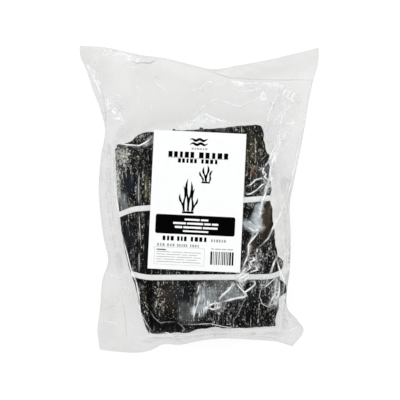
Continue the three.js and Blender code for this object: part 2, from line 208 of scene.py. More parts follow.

# Painted glare, where the film would face a light. A flash is a painted white highlight, a sheen veil is an
# even painted sheen, glint shards are painted angular glints on crinkles, and flames are painted streaks of
# glints. Each has a strength, the reach of its soft edge, and its corners.
GLARES = {
    "flash": (
        (0.8, 2.5, ((37, 138), (47, 136), (51, 133), (48, 130), (38, 134))),
        (0.6, 2.5, ((66, 114), (73, 123), (76, 113), (70, 112))),
        (0.9, 2.5, ((-99, 173), (-92, 172), (-73, 163), (-64, 159), (-73, 160), (-90, 166))),
        (0.5, 4, ((-106, 172), (-104, 174), (-101, 169))),
        (0.6, 4, ((-128, 155), (-124, 152), (-116, 134), (-121, 140))),
        (0.6, 4, ((-107, 112), (-104, 103), (-101, 104), (-104, 114))),
        (0.6, 4, ((-100, 98), (-88, 90), (-84, 88), (-93, 94))),
        (0.5, 4, ((76, 131), (84, 132), (94, 130), (84, 128))),
        (0.45, 5, ((-20, 80), (-8, 86), (4, 93), (10, 91), (2, 82))),
        (0.3, 6, ((7, 93), (34, 84), (25, 81), (8, 84))),
        (0.6, 3, ((85, -87), (88, -106), (84, -117), (77, -116), (82, -106))),
        (0.85, 1.6, ((78, 26), (73.5, 6), (69.6, -4), (67, -17), (67.8, -31), (66, -31), (65, -17),
                     (67.4, -3), (71.4, 6), (76, 24))),
        (0.7, 3, ((43, -86), (50, -80), (54, -84), (48, -93), (43, -92))),
        (0.6, 1.5, ((64, -32), (55, -48), (54.5, -60), (53.5, -60), (54, -48), (62.5, -32))),
        (0.6, 1.6, ((25, -104), (38, -91), (39, -93), (27, -106))),
        (0.55, 1.6, ((24, -112), (38, -109), (50, -107.5), (50, -106), (38, -107.5))),
        (0.5, 2, ((-62, 60), (-52, 69), (-50, 72), (-50, 65), (-56, 60))),
        (1.0, 1.3, ((122, 100), (118.8, 85), (115.2, 70.5), (112, 55), (108.6, 39), (104.5, 21),
                    (104.1, 21), (108, 39), (111.4, 55), (114.8, 70.5), (118.4, 85))),
    ),
    "sheen_veil": (
        (0.27, 2, ((38, -92), (23, -109), (39, -108), (49, -106))),
        (0.16, 9, ((12, -110), (30, -90), (20, -91))),
        (0.68, 3.5, ((64.5, -6), (66, -17), (67, -31), (63, -35), (61, -26), (62, -12))),
        (0.55, 3, ((47, -24), (55, -25), (61, -29), (65, -33), (60, -35), (52, -30))),
        (0.12, 4, ((69, 33), (76, 36), (75, 17), (70, 20))),
        (0.3, 6, ((0, -114), (3, -101), (15, -99), (18, -110), (8, -114))),
        (0.4, 4, ((-4, -122), (0, -115), (8, -116), (8, -119), (0, -122))),
        (0.09, 9, ((-18, -117), (-8, -118), (-8, -131), (-18, -130))),
        (0.12, 5, ((-93, 58), (-89, 30), (-87, 0), (-91, 20))),
        (0.22, 4, ((-88, 6), (-82, 4), (-80, -12), (-84, -12))),
    ),
    "glint_shards": (
        (1.0, 5, ((42, -88), (44, -80), (52, -78), (55, -84), (50, -92))),
        (0.4, 4, ((55, -62), (64, -58), (65, -74), (56, -80), (52, -72))),
        (0.9, 5, ((72, 30), (78, 44), (86, 62), (90, 61), (83, 48), (79, 24), (76, 16))),
        (0.8, 7, ((94, 118), (106, 122), (104, 106), (94, 104))),
        (0.8, 4, ((-127, 152), (-120, 148), (-110, 122), (-118, 134))),
        (0.9, 5, ((-106, 112), (-104, 100), (-92, 92), (-86, 88), (-98, 100))),
        (0.7, 7, ((90, 92), (96, 80), (106, 88), (98, 96))),
        (0.6, 3, ((-66, 64), (-58, 70), (-51, 74), (-56, 66))),
        (0.7, 5, ((74, 128), (88, 133), (96, 130), (84, 127))),
        (0.7, 6, ((86, 74), (96, 78), (92, 62), (84, 60))),
    ),
    "flames": (
        (0.8, 5, ((-7, -124), (-2, -109), (4, -106), (10, -112), (22, -114), (22, -118), (8, -120),
                  (2, -126))),
        (0.35, 6, ((-1, -106), (1, -94), (5, -94), (6, -106))),
        (0.5, 8, ((-20, 80), (4, 93), (30, 84), (10, 84))),
    ),
}

# Where the film is finely crumpled: x, y, reach and strength. Painted glint lines and a little painted shade
# go there too.
CRUMPLED = (
    (-98, 108, 26, 1.0), (96, 110, 32, 1.0), (88, 78, 24, 0.9), (-121, 150, 20, 0.7), (66, 132, 24, 0.6),
    (62, -84, 26, 1.0), (76, 34, 22, 0.8), (-104, -50, 20, 0.6), (-108, -120, 26, 0.7), (98, -140, 26, 0.9),
    (20, -112, 34, 0.6), (104, 20, 18, 0.6), (-100, 20, 18, 0.5), (0, 120, 30, 0.35), (-60, 150, 30, 0.4),
    (58, -62, 12, 1.0),
)
# Where the film is drawn greyer: strength, reach and path.
GREYED = (
    (0.8, 17, ((-110, -168), (-40, -159), (0, -155), (60, -154), (105, -160))),
    (1.0, 34, ((-134, 172), (-120, 140), (-114, 105))), (0.7, 24, ((50, 150), (132, 164))),
    (1.0, 24, ((-112, -125), (-110, -168), (-75, -174))), (1.0, 22, ((104, -135), (106, -165))),
)
# The film is a sheet of flat facets, with finer ones on top of them where it is crumpled.
BROAD_FACET, BROAD_HEIGHT = 27.0, 2.2
FINE_FACET, FINE_HEIGHT = 8.0, 0.9
FINE_FROM = 0.25  # how crumpled the film is where the fine facets' edges begin to show
ON_KELP = 0.995  # nearer the bundle than this, the film lies on the kelp
FACETS_ON_KELP = 0.35  # what is left of the facets' height there
DEEPEST_ON_KELP = 0.25  # how far they dip there at most
FACET_EDGE = 0.8  # half the width of a facet's edge
FACET_EDGE_STEP = 5  # between the points along it
FACET_EDGE_SPAN = (0.06, 0.94)  # the part of it that is kept, which stops short of the knots
FREE_FROM = 0.2  # the share of the way in from the bag's edge where folds and facets have their whole height
SUNK_FROM = 0.25  # and where the lower film has sunk by a whole millimetre
FOLD_SPAN = (0.12, 0.88)  # the part of half a wave that a fold's height follows from end to end
RIM_STEP, BUNDLE_STEP = 3.0, 6.0  # between the points of those two outlines
FILM_STEP = 3.6  # size of the film mesh's triangles, away from its creases
HIDDEN_STEP = 7.0  # and of what shows little
LINE_ROOM = 2.0  # between those triangles' corners and the creases and edges
RIM_ROOM = 2.0  # creases and facets' edges stop this far from the bag's edge
LABEL_ROOM = 1.5  # and this far from the label's
# how wide the band along the bag's edge is, over which the film is drawn darker
EDGE_BAND_WIDTH = 3.2
LONGEST_TANGLE = 16  # the most points in a little loop that an outline makes where it crosses itself
ROW_PITCH = 0.87  # of scattered points' rows, as a share of their spacing
JITTER = 0.3  # how far they are moved, as a share of it
OUTLINE_ROOM = 0.4  # the least between them and an outline
SAME_PLACE = 0.002  # points nearer than this become one


# ---- Curves and distances ----
def between(start, end, share):
    return start + (end - start) * share


def smoothstep(value):
    value = np.clip(value, 0, 1)
    return value * value * (3 - 2 * value)


def fade(distance, reach, hold=1.0):
    """1 close by, and 0 from the reach on. With a hold over 1 it stays at 1 for longer."""
    return smoothstep(hold * (1 - distance / reach))


def smooth_line(knots, step):
    """Points about a step apart on a centripetal Catmull-Rom curve through the knots."""
    knots = [np.array(knot, float) for knot in knots]
    knots = [2 * knots[0] - knots[1], *knots, 2 * knots[-1] - knots[-2]]
    spans = []
    for a, b, c, d in zip(knots, knots[1:], knots[2:], knots[3:]):
        gaps = [np.linalg.norm(q - p) ** 0.5 for p, q in ((a, b), (b, c), (c, d))]
        t0, t1, t2, t3 = np.cumsum([0.0, *gaps])
        count = max(1, math.ceil(np.linalg.norm(c - b) / step))
        t = np.linspace(t1, t2, count, endpoint=False)[:, None]
        first = between(a, b, (t - t0) / (t1 - t0))
        middle = between(b, c, (t - t1) / (t2 - t1))
        last = between(c, d, (t - t2) / (t3 - t2))
        first = between(first, middle, (t - t0) / (t2 - t0))
        last = between(middle, last, (t - t1) / (t3 - t1))
        spans.append(between(first, last, (t - t1) / (t2 - t1)))
    return np.concatenate([*spans, knots[-2][None]])


def kinked_line(knots, step):
    """Points about a step apart on straight runs between the knots."""
    spans = []
    for start, end in zip(np.array(knots, float), np.array(knots[1:], float)):
        count = max(1, round(np.hypot(*(end - start)) / step))
        spans.append(between(start, end, np.linspace(0, 1, count, endpoint=False)[:, None]))
    return np.concatenate([*spans, end[None]])


def smooth_loop(sides, step):
    """A closed outline of smooth sides that meet at corners."""
    return np.concatenate([smooth_line(side, step)[:-1] for side in sides])


def to_line(points, line):
    """How far each point is from a line of points, and how far along it, from 0 to 1, it is nearest."""
    starts, spans = line[:-1, :2], np.diff(line[:, :2], axis=0)
    lengths = np.hypot(*spans.T)
    before = np.concatenate([[0.0], np.cumsum(lengths)])
    best = np.full(len(points), np.inf)
    along = np.zeros(len(points))
    for start, span, length, passed in zip(starts, spans, lengths, before):
        share = np.clip((points - start) @ span / length**2, 0, 1)
        distance = np.hypot(*(points - start - share[:, None] * span).T)
        nearer = distance < best
        best[nearer] = distance[nearer]
        along[nearer] = (passed + share[nearer] * length) / before[-1]
    return best, along


def to_loop(points, loop):
    return to_line(points, np.concatenate([loop, loop[:1]]))[0]


def inside(points, loop):
    """True for the points that a closed outline holds."""
    held = np.zeros(len(points), bool)
    for (x0, y0), (x1, y1) in zip(loop[:, :2], np.roll(loop[:, :2], -1, axis=0)):
        if y0 != y1:
            crosses = (points[:, 1] < y0) != (points[:, 1] < y1)
            held ^= crosses & (points[:, 0] < x0 + (points[:, 1] - y0) * (x1 - x0) / (y1 - y0))
    return held


def beside(line, offset):
    """The line moved sideways, by one distance or by one for each of its points."""
    way = np.gradient(line, axis=0)
    way /= np.hypot(*way.T)[:, None]
    return line + np.reshape(offset, (-1, 1)) * np.stack([-way[:, 1], way[:, 0]], 1)


def outward(outline):
    """Unit steps away from a closed outline, at each of its points."""
    way = np.roll(outline, -1, 0) - np.roll(outline, 1, 0)
    way /= np.hypot(*way.T)[:, None]
    return turned_left(outline) * np.stack([way[:, 1], -way[:, 0]], 1)


def turned_left(outline):
    """1 for an outline that runs anticlockwise, and -1 for one that runs clockwise."""
    x, y = outline[:, :2].T
    return 1 if np.sum(x * np.roll(y, -1) - np.roll(x, -1) * y) > 0 else -1


def untangled(outline):
    """A closed outline without the little loops where it crosses itself."""
    kept = [Vector(point) for point in outline]
    for _ in range(len(kept)):
        for ahead in range(min(LONGEST_TANGLE, len(kept) - 2), 1, -1):
            cross = intersect_line_line_2d(kept[0], kept[1], kept[ahead], kept[ahead + 1])
            if cross:
                kept = [kept[0], cross, *kept[ahead + 1:]]
                break
        kept = [*kept[1:], kept[0]]
    kept = [point for point, following in zip(kept, kept[1:] + kept[:1]) if (following - point).length > 0.1]
    return np.array([tuple(point) for point in kept])


def ripples(points, size, seed, stretch=1.0):
    """Smooth noise from -1 to 1 over the points. Stretch draws it out along y."""
    x, y = points.T / size
    return np.array([noise.noise(Vector((a, b / stretch, seed * 7.31))) for a, b in zip(x, y)])


RIM_SIDES = [smooth_line(side, RIM_STEP) for side in BAG_SIDES]
RIM = smooth_loop(BAG_SIDES, RIM_STEP)
BUNDLE = smooth_loop(BUNDLE_SIDES, BUNDLE_STEP)


# ---- The form of the bag ----
def near_bundle(points):
    """0 on the bag's edge, 1 on the bundle."""
    outside = np.where(inside(points, BUNDLE), 0, to_loop(points, BUNDLE))
    nearness = [(to_line(points, side)[0] + 1e-6) ** -CORNER_EASE for side in RIM_SIDES]
    rim = np.sum(nearness, axis=0) ** (-1 / CORNER_EASE)
    return rim / (rim + outside)


def seam_height(points, near):
    """The height of the bag's edge, carried inwards to the bundle."""
    distance = np.hypot(*(points[:, None] - RIM[None, :, :2]).transpose(2, 0, 1))
    pull = 1 / (distance + SEAM_SOFTNESS) ** SEAM_PULL
    return between(pull @ RIM[:, 2] / pull.sum(1), SEAM_HEIGHT, near**SEAM_RISE)


def on_label(points):
    """The points as seen from the label's middle, along its own width and length."""
    x, y = (points - np.array(LABEL_CENTRE)).T
    cos, sin = math.cos(LABEL_TURN), math.sin(LABEL_TURN)
    return np.stack([x * cos + y * sin, y * cos - x * sin], 1)


def from_label(points):
    """The opposite: places on the label, in the frame's axes."""
    x, y = np.asarray(points, float).T
    cos, sin = math.cos(LABEL_TURN), math.sin(LABEL_TURN)
    return np.stack([x * cos - y * sin, x * sin + y * cos], 1) + np.array(LABEL_CENTRE)


def past_label(points):
    """How far outside the label each point is."""
    return np.max(np.abs(on_label(points)) - np.array(LABEL_SIZE) / 2, axis=1)


def clear_of_label(points):
    """0 where the film is held smooth under the label, and 1 clear of it."""
    return smoothstep((past_label(points) - LABEL_MARGIN) / LABEL_EASE)


def strap_dip(points):
    """How far the straps draw the kelp in, from 0 to 1."""
    distances = [to_line(points, np.array(line, float))[0] for line in STRAP_LINES]
    return fade(np.min(distances, axis=0), STRAP_REACH)


def roof(points):
    """The domed face that the kelp gives the film above it."""
    away = (points - np.array(DOME_MIDDLE)) / np.array(DOME_REACH)
    dome = DOME * 0.5 * np.sum(away**2, axis=1)
    return BUNDLE_HEIGHT - dome - STRAP_DIP * strap_dip(points) * clear_of_label(points)


def fold_height(points):
    height = np.zeros(len(points))
    for start, end, rise, reach in FOLDS:
        distance, along = to_line(points, np.array([start, end], float))
        ridge = np.maximum(0, 1 - distance / reach)
        height = np.maximum(height, rise * ridge * np.sin(np.pi * between(*FOLD_SPAN, along)))
    return height


def crumpled(points):
    """How finely crumpled the film is, from 0 to 1."""
    spots = [strength * fade(np.hypot(*(points - (x, y)).T), reach, 1.3)
             for x, y, reach, strength in CRUMPLED]
    return np.max(spots, axis=0)


def greyed(points):
    """How much greyer the film is drawn, from 0 to 1."""
    spots = [strength * fade(to_line(points, np.array(path, float))[0], reach, 1.4)
             for strength, reach, path in GREYED]
    return np.max(spots, axis=0)


# ---- Meshes ----
def mesh_object(name, points, faces, material):
    mesh = bpy.data.meshes.new(name)
    mesh.from_pydata((np.asarray(points, float) * MM).tolist(), [], faces)
    mesh.shade_smooth()
    mesh.set_sharp_from_angle(angle=math.radians(75))
    mesh.materials.append(material)
    piece = bpy.data.objects.new(name, mesh)
    bpy.context.scene.collection.objects.link(piece)
    return piece


def scatter(loop, spacing, seed):
    """Points spread evenly, but not in rows, inside a closed outline."""
    draw = np.random.default_rng(seed)
    low, high = loop[:, :2].min(0), loop[:, :2].max(0)
    x, y = np.meshgrid(np.arange(low[0], high[0], spacing), np.arange(low[1], high[1], spacing * ROW_PITCH))
    x[1::2] += spacing / 2
    points = np.stack([x.ravel(), y.ravel()], 1)
    points += draw.uniform(-JITTER, JITTER, points.shape) * spacing
    return points[inside(points, loop)]


def plan_mesh(loop, fill, lines=(), chords=False):
    """Triangles over a closed outline, with edges along each of the lines. It gives the places, the
    triangles, and which of the outline's points each place is, or -1. Without chords, only neighbours among
    the outline's points are joined by an edge."""
    rim = len(loop)
    if len(fill):
        fill = fill[to_loop(fill, loop) > OUTLINE_ROOM]
    edges = [(i, (i + 1) % rim) for i in range(rim)]
    count = rim
    for line in lines:
        edges += [(count + i, count + i + 1) for i in range(len(line) - 1)]
        count += len(line)
    while True:
        corners = [Vector(corner) for corner in np.concatenate([loop[:, :2], *lines, fill])]
        places, _, faces, origins, *_ = delaunay_2d_cdt(corners, edges, [], 1, SAME_PLACE)
        places = np.array([tuple(place) for place in places])
        posts = np.array([min([*origin, count]) for origin in origins])
        posts[posts >= rim] = -1
        sides = np.concatenate([np.array(faces)[:, pair] for pair in ((0, 1), (1, 2), (2, 0))])
        sides = np.sort(sides, axis=1)
        start, end = posts[np.unique(sides, axis=0)].T
        apart = (end - start) % rim
        across = (start >= 0) & (end >= 0) & (apart != 1) & (apart != rim - 1)
        if chords or not across.any():
            return places, faces, posts
        fill = np.concatenate([fill, (loop[start[across], :2] + loop[end[across], :2]) / 2])


def shell(loop, above, below, fill, fill_below, lines=()):
    """One closed body between two height functions, which meet along an outline of x, y and height."""
    points, faces = [tuple(post) for post in loop], []
    for heights, inner, creases, turn in ((above, fill, lines, 1), (below, fill_below, (), -1)):
        places, triangles, posts = plan_mesh(loop, inner, creases)
        index = []
        for (x, y), z, post in zip(places, heights(places), posts):
            index.append(len(points) if post < 0 else int(post))
            if post < 0:
                points.append((x, y, z))
        faces += [[index[i] for i in triangle][::turn] for triangle in triangles]
    return points, faces


def slab(loop, above, below, fill):
    """One flat body between two height functions, with an upright wall along its anticlockwise outline."""
    places, triangles, posts = plan_mesh(loop, fill, chords=True)
    count = len(places)
    points = [(*place, z) for heights in (above, below) for place, z in zip(places, heights(places))]
    faces = [*triangles, *([i + count for i in triangle][::-1] for triangle in triangles)]
    order = [np.flatnonzero(posts == post)[0] for post in range(len(loop))]
    faces += [[a + count, b + count, b, a] for a, b in zip(order, order[1:] + order[:1])]
    return points, [[int(i) for i in face] for face in faces]


def joined(bodies):
    points, faces = [], []
    for more_points, more_faces in bodies:
        faces += [[len(points) + i for i in face] for face in more_faces]
        points += list(more_points)
    return points, faces


def store(piece, name, values):
    """Keeps one number for each point of a piece, for its material to read."""
    piece.data.attributes.new(name, "FLOAT", "POINT").data.foreach_set("value", values)


def plan_of(piece):
    """Where a piece's points are in plan."""
    return np.array([vertex.co[:2] for vertex in piece.data.vertices]) / MM


# ---- The film ----
class Crumple:
    """A sheet of flat facets, whose knots stand at random heights from -1 to 1."""

    def __init__(self, spacing, seed):
        low, high = RIM.min(0) - spacing, RIM.max(0) + spacing
        border = np.array([low[:2], (high[0], low[1]), high[:2], (low[0], high[1])])
        knots = [Vector(knot) for knot in scatter(border, spacing, seed)]
        places, self.edges, faces, *_ = delaunay_2d_cdt(knots, [], [], 0, 1e-4)
        heights = np.random.default_rng(seed).uniform(-1, 1, len(places))
        self.knots = np.array([tuple(place) for place in places])
        self.tree = BVHTree.FromPolygons([(*knot, z) for knot, z in zip(self.knots, heights)], faces)

    def heights(self, points):
        down = Vector((0, 0, -1))
        hits = (self.tree.ray_cast(Vector((x, y, 5)), down)[0] for x, y in points)
        return np.array([0.0 if hit is None else hit.z for hit in hits])

    def edge_lines(self, calm):
        """The facets' edges where the film is more crumpled than this, as lines."""
        ends = self.knots[np.array(self.edges)]
        for start, end in ends[crumpled(ends.mean(1)) > calm]:
            count = max(2, round(np.hypot(*(end - start)) / FACET_EDGE_STEP) + 1)
            yield between(start, end, np.linspace(*FACET_EDGE_SPAN, count)[:, None])


BROAD = Crumple(BROAD_FACET, seed=11)
FINE = Crumple(FINE_FACET, seed=12)


def crease_shape(points, creases):
    """How far the creases lift the film, how near it is to their middles, how white and how dark they are
    painted, as painted highlight and painted shade, and the painted sheen beside them."""
    lift, ridge, white, dark, sheen = np.zeros((5, len(points)))
    for rise, halves, whiteness, sheen_reach, strength, line in creases:
        reach = max(halves.max(), abs(sheen_reach)) + 0.1
        low, high = line.min(0) - reach, line.max(0) + reach
        close = np.flatnonzero(np.all((points > low) & (points < high), axis=1))
        distance, along = to_line(points[close], line)
        half = np.interp(along, np.linspace(0, 1, len(line)), halves)
        ends = np.clip(6 * np.minimum(along, 1 - along), CREASE_FEET, 1)
        nearness = np.maximum(0, 1 - distance / half)
        lift[close] = np.maximum(lift[close], rise * nearness * ends)
        ridge[close] = np.maximum(ridge[close], nearness)
        touched = np.where(distance < half + 0.05, ends, 0)
        white[close] = np.maximum(white[close], whiteness * touched)
        dark[close] = np.maximum(dark[close], -whiteness * touched)
        if strength:
            left_edge = beside(line, math.copysign(1, sheen_reach) * halves)
            facing = to_line(points[close], left_edge)[0] < distance
            shoulder = strength * np.maximum(0, 1 - distance / abs(sheen_reach)) ** 2 * ends
            sheen[close] = np.maximum(sheen[close], shoulder * facing)
    return lift, ridge, white, dark, sheen


def glare_at(points, kind):
    """How strong a kind of painted glare is, from 0 to 1."""
    most = np.zeros(len(points))
    for strength, reach, corners in GLARES[kind]:
        outline = np.array(corners, float)
        low, high = outline.min(0) - reach, outline.max(0) + reach
        close = np.flatnonzero(np.all((points > low) & (points < high), axis=1))
        outside = np.where(inside(points[close], outline), 0, to_loop(points[close], outline))
        most[close] = np.maximum(most[close], strength * fade(outside, reach))
    return most


def hang(points):
    """The plain height of the upper film, without its folds, facets and creases."""
    near = near_bundle(points)
    return between(seam_height(points, near), roof(points), smoothstep(near**FILM_FALL))


def levelness(points):
    """1 where the film is level, and less where it is steep."""
    slope = np.hypot(*[hang(points + way) - hang(points - way) for way in np.eye(2) / 2])
    return 1 / np.hypot(1, slope)


def film_above(points):
    near = near_bundle(points)
    free = clear_of_label(points) * smoothstep(near / FREE_FROM)
    facets = BROAD_HEIGHT * BROAD.heights(points) + FINE_HEIGHT * crumpled(points) * FINE.heights(points)
    on_kelp = np.maximum(-DEEPEST_ON_KELP, FACETS_ON_KELP * facets)
    facets = np.where(near > ON_KELP, on_kelp, facets)
    return hang(points) + free * (fold_height(points) + facets)


def film_below(points):
    near = near_bundle(points)
    rise = seam_height(points, near) * (1 - smoothstep(near**FILM_FALL))
    return np.maximum(0, rise - smoothstep(near / SUNK_FROM))


def free_runs(lines):
    """The stretches of the lines that lie clear of the label and of the bag's edge, each with the number of
    its line."""
    every = np.concatenate(lines)
    free = (to_loop(every, RIM) > RIM_ROOM) & (past_label(every) > LABEL_ROOM) & inside(every, RIM)
    ends = np.cumsum([len(line) for line in lines])[:-1]
    for number, (line, ok) in enumerate(zip(lines, np.split(free, ends))):
        turns = np.flatnonzero(np.diff(np.concatenate([[0], ok.astype(int), [0]])))
        yield from ((number, line[start:end]) for start, end in turns.reshape(-1, 2) if end - start > 1)


def laid_creases():
    """The creases' free stretches: rise, half widths, painted whiteness, the painted sheen's reach and
    strength, and line.
    """
    for number, line in free_runs([kinked_line(path, CREASE_STEP) for _, path, *_ in CREASES]):
        kind, _, *sheen = CREASES[number]
        rise, half, whiteness = CREASE_KINDS[kind]
        reach, strength = sheen[0] if sheen else (0, 0)
        halves = half * np.maximum(STEEP_NARROWING, levelness(line))
        yield rise, halves, whiteness, reach, strength, line


def mesh_lines(creases):
    """The lines that the film's mesh follows: the middle and both feet of each crease and facet's edge."""
    edges = [*BROAD.edge_lines(-1), *FINE.edge_lines(FINE_FROM)]
    ridges = [(halves, line) for _, halves, *_, line in creases]
    ridges += [(FACET_EDGE, line) for _, line in free_runs(edges)]
    return [way for halves, line in ridges for way in (line, beside(line, halves), beside(line, -halves))]


def milkiness_and_painted_lift(near):
    """How milky the film looks: not at all on the kelp, most beside it, and less at the bag's edge. The haze
    is the film's own, and its rise beside the bundle is painted light that lifts the shade the bundle throws
    there.
    """
    return smoothstep((1 - near) / 0.25) * (0.5 + 0.35 * smoothstep((near - 0.3) / 0.5))


def make_film():
    """The clear film as one closed shell, with mesh edges along its creases and its facets' edges."""
    creases = list(laid_creases())
    lines = mesh_lines(creases)
    middles = np.concatenate(lines)
    fill = scatter(RIM, FILM_STEP, seed=21)
    fill = np.array([point for point in fill if np.hypot(*(middles - point).T).min() > LINE_ROOM])

    def above(points):
        return film_above(points) + crease_shape(points, creases)[0]

    body = shell(RIM, above, film_below, fill, scatter(RIM, HIDDEN_STEP, seed=22), lines)
    film = mesh_object("film", *body, clear_film())
    plan = plan_of(film)
    upward = np.array([vertex.normal.z > 0 for vertex in film.data.vertices])
    _, ridge, white, dark, sheen = crease_shape(plan, creases)
    glares = {kind: glare_at(plan, kind) for kind in GLARES}
    glares["sheen_veil"] = np.maximum(glares["sheen_veil"], sheen)
    for kind, strength in {"crease": ridge, **glares}.items():
        store(film, kind, strength * upward)
    store(film, "crease_highlight", white)
    store(film, "crease_shade", dark)
    store(film, "crumple", crumpled(plan))
    store(film, "greyed", greyed(plan))
    store(film, "haze_and_painted_light", milkiness_and_painted_lift(near_bundle(plan)))
    store(film, "edge_band", fade(to_loop(plan, RIM), EDGE_BAND_WIDTH))
    return film


# ---- Nodes ----
def add_node(tree, kind, settings=None, **inputs):
    """A node. Each input is given by its name, with _ for a space, or by i and its number. It is a value, or
    the output that it is linked to."""
    node = tree.nodes.new(kind)
    for key, value in (settings or {}).items():
        setattr(node, key, value)
    for key, value in inputs.items():
        socket = node.inputs[int(key[1:])] if key[1:].isdigit() else node.inputs[key.replace("_", " ")]
        if isinstance(value, bpy.types.NodeSocket):
            tree.links.new(value, socket)
        else:
            socket.default_value = value
    return node


# ---- Materials ----
class Finish:
    """A material that is built node by node."""

    def __init__(self, name):
        self.material = bpy.data.materials.new(name)
        self.material.use_nodes = True
        self.tree = self.material.node_tree
        self.tree.nodes.clear()
        self.coords = self.node("ShaderNodeTexCoord").outputs["Object"]

    def node(self, kind, settings=None, **inputs):
        return add_node(self.tree, kind, settings, **inputs)

    def math(self, operation, a, b=0.0):
        return self.node("ShaderNodeMath", {"operation": operation}, i0=a, i1=b).outputs[0]

    def times(self, *values):
        return reduce(lambda a, b: self.math("MULTIPLY", a, b), values)

    def plus(self, *values):
        return reduce(lambda a, b: self.math("ADD", a, b), values)

    def most(self, *values):
        return reduce(lambda a, b: self.math("MAXIMUM", a, b), values)

    def stretched(self, stretch):
        return self.node("ShaderNodeMapping", Vector=self.coords, Scale=stretch).outputs[0]

    def noise(self, size, detail, stretch=(1, 1, 1), rough=0.5, distortion=0.0):
        """Noise with features of a size in millimetres."""
        return self.node("ShaderNodeTexNoise", Vector=self.stretched(stretch), Scale=1 / (size * MM),
                         Detail=detail, Roughness=rough, Distortion=distortion).outputs["Fac"]

    def glint_threads(self, size, width, distortion):
        """Fine wandering lines, which are where noise crosses its middle value."""
        offset = self.math("SUBTRACT", self.noise(size, 2.5, distortion=distortion), 0.5)
        return self.spread(self.math("ABSOLUTE", offset), 0.0, width, 1, 0)

    def cells(self, size, feature, output, stretch):
        """Irregular cells of a size in millimetres."""
        return self.node("ShaderNodeTexVoronoi", {"feature": feature}, Vector=self.stretched(stretch),
                         Scale=1 / (size * MM)).outputs[output]

    def cracks(self, size, width, stretch=(1, 1, 1)):
        """The straight edges of irregular cells, as fine lines."""
        return self.spread(self.cells(size, "DISTANCE_TO_EDGE", "Distance", stretch), 0.0, width / size, 1, 0)

    def spread(self, value, low, high, to_low=0.0, to_high=1.0):
        """The value drawn out evenly, so that low and high become two other values, and no further."""
        return self.node("ShaderNodeMapRange", Value=value, From_Min=low, From_Max=high,
                         To_Min=to_low, To_Max=to_high).outputs["Result"]

    def attribute(self, name):
        return self.node("ShaderNodeAttribute", {"attribute_name": name}).outputs["Fac"]

    def mix_color(self, factor, a, b):
        node = self.node("ShaderNodeMix", {"data_type": "RGBA"}, Factor=factor)
        for name, value in (("A", a), ("B", b)):
            socket = [s for s in node.inputs if s.name == name and s.type == "RGBA"][0]
            if isinstance(value, bpy.types.NodeSocket):
                self.tree.links.new(value, socket)
            else:
                socket.default_value = (*value, 1)
        return [s for s in node.outputs if s.type == "RGBA"][0]

    def mix_shader(self, factor, a, b):
        return self.node("ShaderNodeMixShader", i0=factor, i1=a, i2=b).outputs[0]

    def bump(self, height, distance, strength):
        return self.node("ShaderNodeBump", Height=height, Distance=distance * MM,
                         Strength=strength).outputs[0]

    def surface(self, shader):
        self.node("ShaderNodeOutputMaterial", Surface=shader)
        return self.material

    def coat(self, color, roughness, specular, **more):
        """The finished material of a surface that isn't clear."""
        body = self.node("ShaderNodeBsdfPrincipled", Base_Color=color, Roughness=roughness,
                         Specular_IOR_Level=specular, **more)
        return self.surface(body.outputs[0])


# The film's tint, and its tint where painted shade darkens it; the milky haze; a painted bluish sheen, and a
# painted white glint.
FILM_TINT = (0.918, 0.921, 0.914)
SHADED_FILM = (0.5, 0.505, 0.5)
MILKY_FILM = (0.76, 0.76, 0.755)
BLUISH_SHEEN = (0.68, 0.75, 0.78)
GLINT_WHITE = (0.93, 0.95, 0.955)


